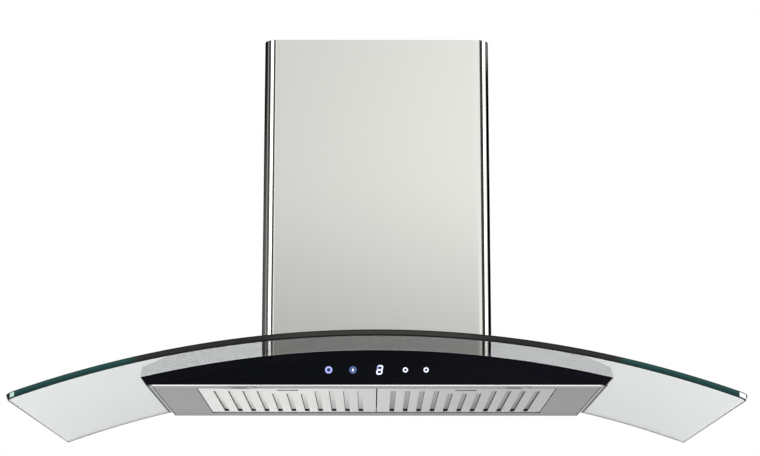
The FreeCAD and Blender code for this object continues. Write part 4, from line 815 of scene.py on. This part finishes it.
def cover_outline(half, depth, rear, corner, lip):
    """Open outline of a duct cover, from its left lip round the front to its right lip."""
    side_steps, bend_steps, front_steps = 8, 16, 48
    left = [(-half + lip, -rear), (-half, -rear)]
    for step in range(1, side_steps):
        left.append((-half, -rear - (depth - rear - corner) * step / side_steps))
    for step in range(bend_steps + 1):
        turn = math.radians(180 + 90 * step / bend_steps)
        left.append((-half + corner + corner * math.cos(turn), -depth + corner + corner * math.sin(turn)))
    flat = half - corner
    front = [(-flat + 2 * flat * step / front_steps, -depth) for step in range(1, front_steps)]
    return left + front + [(-x, y) for x, y in reversed(left)]


def make_cover(name, outline, foot, head, body, stands_for):
    made = bmesh.new()
    rows = 6
    grid = []
    for x, y in outline:
        low = foot(x)
        grid.append([made.verts.new((x * MM, y * MM, up(low + (head - low) * row / rows)))
                     for row in range(rows + 1)])
    for first, second in zip(grid, grid[1:]):
        for row in range(rows):
            made.faces.new((first[row], second[row], second[row + 1], first[row + 1]))
    bmesh.ops.recalc_face_normals(made, faces=made.faces)
    near_front = -0.2
    backward = sum((f.normal.y for f in made.faces if f.calc_center_median().y < near_front), 0.0)
    if backward > 0:
        bmesh.ops.reverse_faces(made, faces=made.faces)
    item = loose_object(name + "_skin", as_mesh(made, name))
    wall = item.modifiers.new("wall", "SOLIDIFY")
    wall.thickness = SHEET * MM
    wall.offset = -1
    wall.use_even_offset = True
    hem = item.modifiers.new("hem", "BEVEL")
    hem.width = 0.25 * MM
    hem.segments = 2
    hem.limit_method = "ANGLE"
    hem.angle_limit = math.radians(60)
    keep(name, baked(item), body, (stands_for,), (cover_steel,))


def make_covers():
    lower = cover_outline(COVER_HALF, COVER_DEPTH, 0, COVER_CORNER, COVER_LIP)
    glass_top = GLASS_RADIUS + GLASS_THICKNESS + SEAT
    make_cover("lower_chimney", lower, lambda x: arch(glass_top, x), COVER_TOP, "hood", "lower_duct_cover")
    step = 2 * SHEET
    upper = cover_outline(COVER_HALF - step, COVER_DEPTH - step, step, COVER_CORNER - step, COVER_LIP)
    make_cover("upper_chimney", upper, lambda x: UPPER_COVER_FOOT, COVER_TOP - 2, "upper_cover",
               "upper_duct_cover")


# ---- What is lit on the panel -----------------------------------------------------------------

SKIN = 0.12                     # how far the lit shapes stand off the panel


def points_object(name, points):
    mesh = bpy.data.meshes.new(name)
    mesh.from_pydata(points, [], [])
    return loose_object(name, mesh)


def flat_shape(outlines, lift=SKIN):
    """Thin plates on the panel's face from closed outlines in X and Z, about the touch fields' line."""
    sunk = 0.2
    rings = [[[(x * MM, (y - PANEL_FRONT) * MM, up(KEY_HEIGHT + z)) for x, z in outline]
              for y in (-lift, sunk)] for outline in outlines]
    return as_mesh(prisms(*rings), "lit_shape")


def disc(x, radius, count=36):
    return [(x + radius * math.cos(2 * math.pi * n / count), radius * math.sin(2 * math.pi * n / count))
            for n in range(count)]


def drop(x, size, count=28):
    """A small pear-shaped lamp sign."""
    points = []
    for n in range(count):
        turn = 2 * math.pi * n / count
        squeeze = 1 - 0.45 * max(0.0, math.sin(turn)) ** 2
        points.append((x + size * squeeze * math.cos(turn), size * 1.45 * math.sin(turn)))
    return points


def segment(x, z, length, width, upright):
    """One bar of a seven-segment figure, with pointed ends."""
    half, edge = length / 2, width / 2
    bar = [(-half, 0), (-half + edge, -edge), (half - edge, -edge), (half, 0), (half - edge, edge),
           (-half + edge, edge)]
    if upright:
        bar = [(-b, a) for a, b in bar]
    return [(x + a, z + b) for a, b in bar]


def make_figure():
    """The bars of the figure 8, leaning a little to the right: the dim one first, the back plate last."""
    tall, wide, width, lean = 5.2, 6.0, 1.8, 0.14
    side = wide / 2
    bars = [segment(x, z, tall if upright else wide, width, upright) for x, z, upright in (
        (-side, tall / 2, True), (0, tall, False), (0, 0, False), (0, -tall, False),
        (side, tall / 2, True), (-side, -tall / 2, True), (side, -tall / 2, True))]
    bars.append([(-side, -tall), (side, -tall), (side, tall), (-side, tall)])
    return [[(FIGURE_PLACE + x + lean * z, z) for x, z in bar] for bar in bars]


POWER_PLACE, LAMP_PLACE, FIGURE_PLACE = -61.1, -30.4, 3.6
SPEED_PLACES = (36.2, 62.5)


def make_lit_signs():
    rings = make_ring_tree()
    for name, places, outer, inner, light in (
            ("power_ring", (POWER_PLACE,), 4.5, 2.4, lavender_light),
            ("lamp_ring", (LAMP_PLACE,), 4.5, 3.3, blue_light),
            ("speed_rings", SPEED_PLACES, 3.3, 1.75, white_light)):
        points = [(x * MM, -PANEL_FRONT * MM, up(KEY_HEIGHT)) for x in places]
        mesh = shaped(points_object(name, points), rings,
                      {"Outer": outer * MM, "Inner": inner * MM, "Thickness": SKIN * MM, "Light": light})
        keep(name, mesh, "hood")
    dim, *bars, back = make_figure()
    wells = [disc(POWER_PLACE, 2.3), disc(LAMP_PLACE, 3.2), back] + [disc(x, 1.7) for x in SPEED_PLACES]
    for name, outlines, lift, light in (
            ("ring_wells", wells, SKIN / 2, well_light),
            ("lamp_sign", [drop(LAMP_PLACE, 1.35)], SKIN, white_light),
            ("speed_figure", bars, SKIN, white_light), ("dim_figure_bar", [dim], SKIN * 0.8, pale_light)):
        keep(name, flat_shape(outlines, lift), "hood", (), (light,))


# ---- The bright hem along the front of the underside ------------------------------------------

def make_hem():
    """The underside's folded front hem, cut round in front of the two lamps."""
    front, rear, fold, sheet = 384.6, 373.0, 381.2, 0.35
    reach, lamp_line, lamp_half, lamp_radius, steps = 285.0, 369.0, 23.6, 10.6, 9
    outline = [(-reach, -front), (reach, -front), (reach, -rear)]
    start = math.asin((rear - lamp_line) / lamp_radius)
    for centre in (LAMP_CENTRE, -LAMP_CENTRE):
        for end, turns in ((1, range(steps + 1)), (-1, range(steps, -1, -1))):
            middle = centre + end * (lamp_half - lamp_radius)
            for n in turns:
                turn = start + (math.pi / 2 - start) * n / steps
                outline.append((middle + end * lamp_radius * math.cos(turn),
                                -lamp_line - lamp_radius * math.sin(turn)))
    outline.append((-reach, -rear))
    points = [(x * MM, max(y, -front + 0.2) * MM) for x, y in outline]
    slab = filled_outline(points, up(-sheet), up(0.0))
    foot, head = -0.1, PANEL_LOW - 0.2
    profile = ((-front, foot), (-front + 0.12, head), (-fold, head), (-fold, foot))
    upright = prisms([[(x * MM, y * MM, up(z)) for y, z in profile] for x in (-reach, reach)])
    both = loose_object("front_hem_slab", as_mesh(slab, "front_hem_slab"))
    second = loose_object("front_hem_upright", as_mesh(upright, "front_hem_upright"))
    joined = both.modifiers.new("one_folded_strip", "BOOLEAN")
    joined.operation = "UNION"
    joined.object = second
    mesh = baked(both)
    bpy.data.objects.remove(second)
    keep("front_hem", mesh, "hood", (), (hem_steel,))


# ---- The trims along the sides of the body -------------------------------------------------------

TRIM_REAR = 92
SEAL_FRONT, SEAL_REAR = 380.5, 62
SHELL_HALF = 286


def extruded(points, front, rear):
    """A bar along Y from its outline in X and Z."""
    return prisms([[(x * MM, -y * MM, up(z)) for x, z in points] for y in (front, rear)])


def make_trims():
    seat = GLASS_RADIUS - SEAT
    step = 0.3
    inner, outer = SHELL_HALF + SEAT, PANEL_FOOT + 1
    foot = [(inner, 0), (inner + 1.4, 0), (inner + 1.7, step),
            (outer - 1.0, step), (outer - 0.7, 0), (outer, 0)]
    head = [(x, arch(seat, x)) for x in (PANEL_HEAD, inner + 8)]
    lip = ((SHELL_HALF - 1.0, 0), (SHELL_HALF - 0.9, -0.25), (SHELL_HALF + 0.1, -0.25), (SHELL_HALF + 0.2, 0))
    for side, name in ((-1, "left"), (1, "right")):
        bar = extruded([(side * x, z) for x, z in foot + head],
                       PANEL_FRONT - PANEL_THICKNESS - SEAT, TRIM_REAR)
        keep(name + "_trim_strip", as_mesh(bar, name), "hood", (name + "_side_trim",),
             (trim_metal,), 20)
        seal = extruded([(side * x, z) for x, z in lip], SEAL_FRONT, SEAL_REAR)
        keep(name + "_trim_seal", as_mesh(seal, name), "hood", (), (black_rubber,), 60)
    top = arch(seat, PANEL_HEAD)
    cap = [(PANEL_FOOT + 0.1, PANEL_LOW), (PANEL_FOOT + 1.8, PANEL_LOW + 0.2), (PANEL_HEAD + 2.0, top - 0.8),
           (PANEL_HEAD + 0.3, top)]
    keep("right_end_cap", as_mesh(extruded(cap, PANEL_FRONT - 0.4, PANEL_FRONT - 6), "right_end_cap"), "hood",
         (), (latch_steel,), 30)


# ---- The springs behind the filters' latches ------------------------------------------------------

SPRING_HEIGHT = 4.3
SPRING_FRONT, SPRING_REAR = 337, 310
SPRING_RADIUS, SPRING_WIRE, SPRING_TURNS = 2.5, 0.6, 9


def make_latch_springs():
    """Coil springs behind the latches, each running forward from its rear end."""
    tree = make_coil_tree()
    half = SPRING_WIRE / 2
    for side, name in ((-1, "left"), (1, "right")):
        foot = (side * FILTER_MIDDLE * MM, -(SPRING_REAR + half) * MM, up(SPRING_HEIGHT))
        head = (foot[0], -(SPRING_FRONT - half) * MM, foot[2])
        mesh = shaped(points_object(name + "_spring_foot", [foot]), tree, {
            "Radius": (SPRING_RADIUS - half) * MM, "Wire": half * MM, "Length": foot[1] - head[1],
            "Turns": SPRING_TURNS, "Metal": plated_steel})
        keep(name + "_coil_spring", mesh, name + "_filter", (name + "_latch_spring",), (), 60,
             (name + "_filter_latch", foot, head))


# ---- Floor, light and camera ------------------------------------------------------------------

STAGE_LEVEL = -1.75             # in metres, as everything below
THROUGH_GLASS = 1.29            # how bright the backdrop is behind the clear glass


def make_floor():
    """Pale floor far below the hood, which fades out around it and isn't seen from below."""
    mesh = bpy.data.meshes.new("floor")
    mesh.from_pydata([(x, y, STAGE_LEVEL) for x, y in ((-5, -6), (5, -6), (5, 1.2), (-5, 1.2))], [],
                     [(0, 1, 2, 3)])
    floor = loose_object("floor", mesh)
    material, tree, surface = finish("pale_floor", Metallic=0.0, Roughness=0.6, Specular_IOR_Level=0.2)
    shade = noise(tree, object_place(tree), 3.0, 3.0)
    link(tree, blend(tree, shade, linear("E6E6E4"), linear("EEEEEC")), surface.inputs["Base Color"])
    clear = node(tree, "ShaderNodeBsdfTransparent")
    under = tree.nodes.new("ShaderNodeNewGeometry").outputs["Backfacing"]
    reach = node(tree, "ShaderNodeVectorMath", {0: object_place(tree), 1: (0, 0.4, STAGE_LEVEL)},
                 operation="DISTANCE")
    faded = ramp(tree, reach.outputs["Value"], 0.9, 3.2)
    choice = node(tree, "ShaderNodeMixShader",
                  {0: maths(tree, "MAXIMUM", under, faded), 1: surface.outputs[0], 2: clear.outputs[0]})
    link(tree, choice.outputs[0], tree.nodes["Material Output"].inputs["Surface"])
    mesh.materials.append(material)


def make_world():
    """White backdrop, with soft boxes and dark flags that only polished faces show."""
    world = bpy.data.worlds.new("studio")
    bpy.context.scene.world = world
    world.use_nodes = True
    tree = world.node_tree
    sky = tree.nodes.new("ShaderNodeTexCoord").outputs["Generated"]
    x, y, z = node(tree, "ShaderNodeSeparateXYZ", {0: sky}).outputs
    turn = times(tree, maths(tree, "ARCTAN2", x, times(tree, y, -1.0)), 180 / math.pi)
    front = times(tree, ramp(tree, z, 0.12, 0.24, 0.62, 1.06), ramp(tree, z, 0.22, 0.34, 1.0, 0.94))
    above = times(tree, front, plus(tree, times(tree, x, 1.9), 1.0))
    flag = ramp(tree, z, 0.15, 0.28, 0.19, 0.06)
    rear = ramp(tree, x, -0.7, 0.7, 0.5, 0.9)
    # Each band's side, the degrees from the front over which it rises and falls, and its level.
    for side, rise, fall, level in (
            (-1, (5, 7), (14, 16), 1.15), (-1, (14, 16), (31, 33), 0.06), (-1, (31, 33), (57, 60), 2.4),
            (-1, (57, 60), (80, 86), flag), (-1, (80, 86), (400, 401), rear),
            (1, (5, 8), (30, 33), 1.15), (1, (30, 33), (60, 63), 0.05), (1, (60, 63), (84, 92), 2.4),
            (1, (84, 92), (400, 401), rear)):
        mask = between(tree, times(tree, turn, side), rise, fall)
        above = mixed(tree, mask, above, level)
    below = times(tree, ramp(tree, z, -0.10, -0.5, 0.33, 1.0), minus(tree, 1.0, times(tree, x, 0.5)))
    high = ramp(tree, z, -0.02, 0.03)
    seen = mixed(tree, high, below, above)
    path = tree.nodes.new("ShaderNodeLightPath").outputs
    white = mixed(tree, times(tree, path["Is Transmission Ray"], high), seen, THROUGH_GLASS)
    plain = maths(tree, "MAXIMUM", path["Is Camera Ray"], path["Is Diffuse Ray"])
    background = tree.nodes["Background"]
    link(tree, mixed(tree, plain, white, 1.0), background.inputs["Strength"])
    background.inputs["Color"].default_value = (1, 1, 1, 1)


def make_lights():
    for name, place, size, power, aim in (
            ("key_soft_box", (-1.6, -3.2, 1.6), 2.2, 60, (0, -0.2, 0)),
            ("fill_soft_box", (2.0, -2.6, 0.4), 2.0, 25, (0, -0.2, 0))):
        lamp = bpy.data.lights.new(name, "AREA")
        lamp.shape = "DISK"
        lamp.size = size
        lamp.energy = power
        item = bpy.data.objects.new(name, lamp)
        bpy.context.scene.collection.objects.link(item)
        item.location = place
        item.rotation_euler = (Vector(aim) - Vector(place)).to_track_quat("-Z", "Y").to_euler()
        item.visible_glossy = False
        item.visible_transmission = False


def make_camera():
    camera = bpy.data.cameras.new("camera")
    camera.sensor_width = 36
    camera.lens = 94.383
    camera.clip_end = 100
    item = bpy.data.objects.new("camera", camera)
    bpy.context.scene.collection.objects.link(item)
    item.location = (-0.0071, -2.8954, -0.4953)
    item.rotation_euler = (math.radians(102.022), 0, math.radians(-0.253))
    bpy.context.scene.camera = item


make_camera()
make_floor()
make_world()
make_lights()
finish_model_nodes()
make_canopy()
make_panel()
make_covers()
make_lit_signs()
make_hem()
make_trims()
make_latch_springs()
bpy.context.scene.view_settings.view_transform = "Standard"
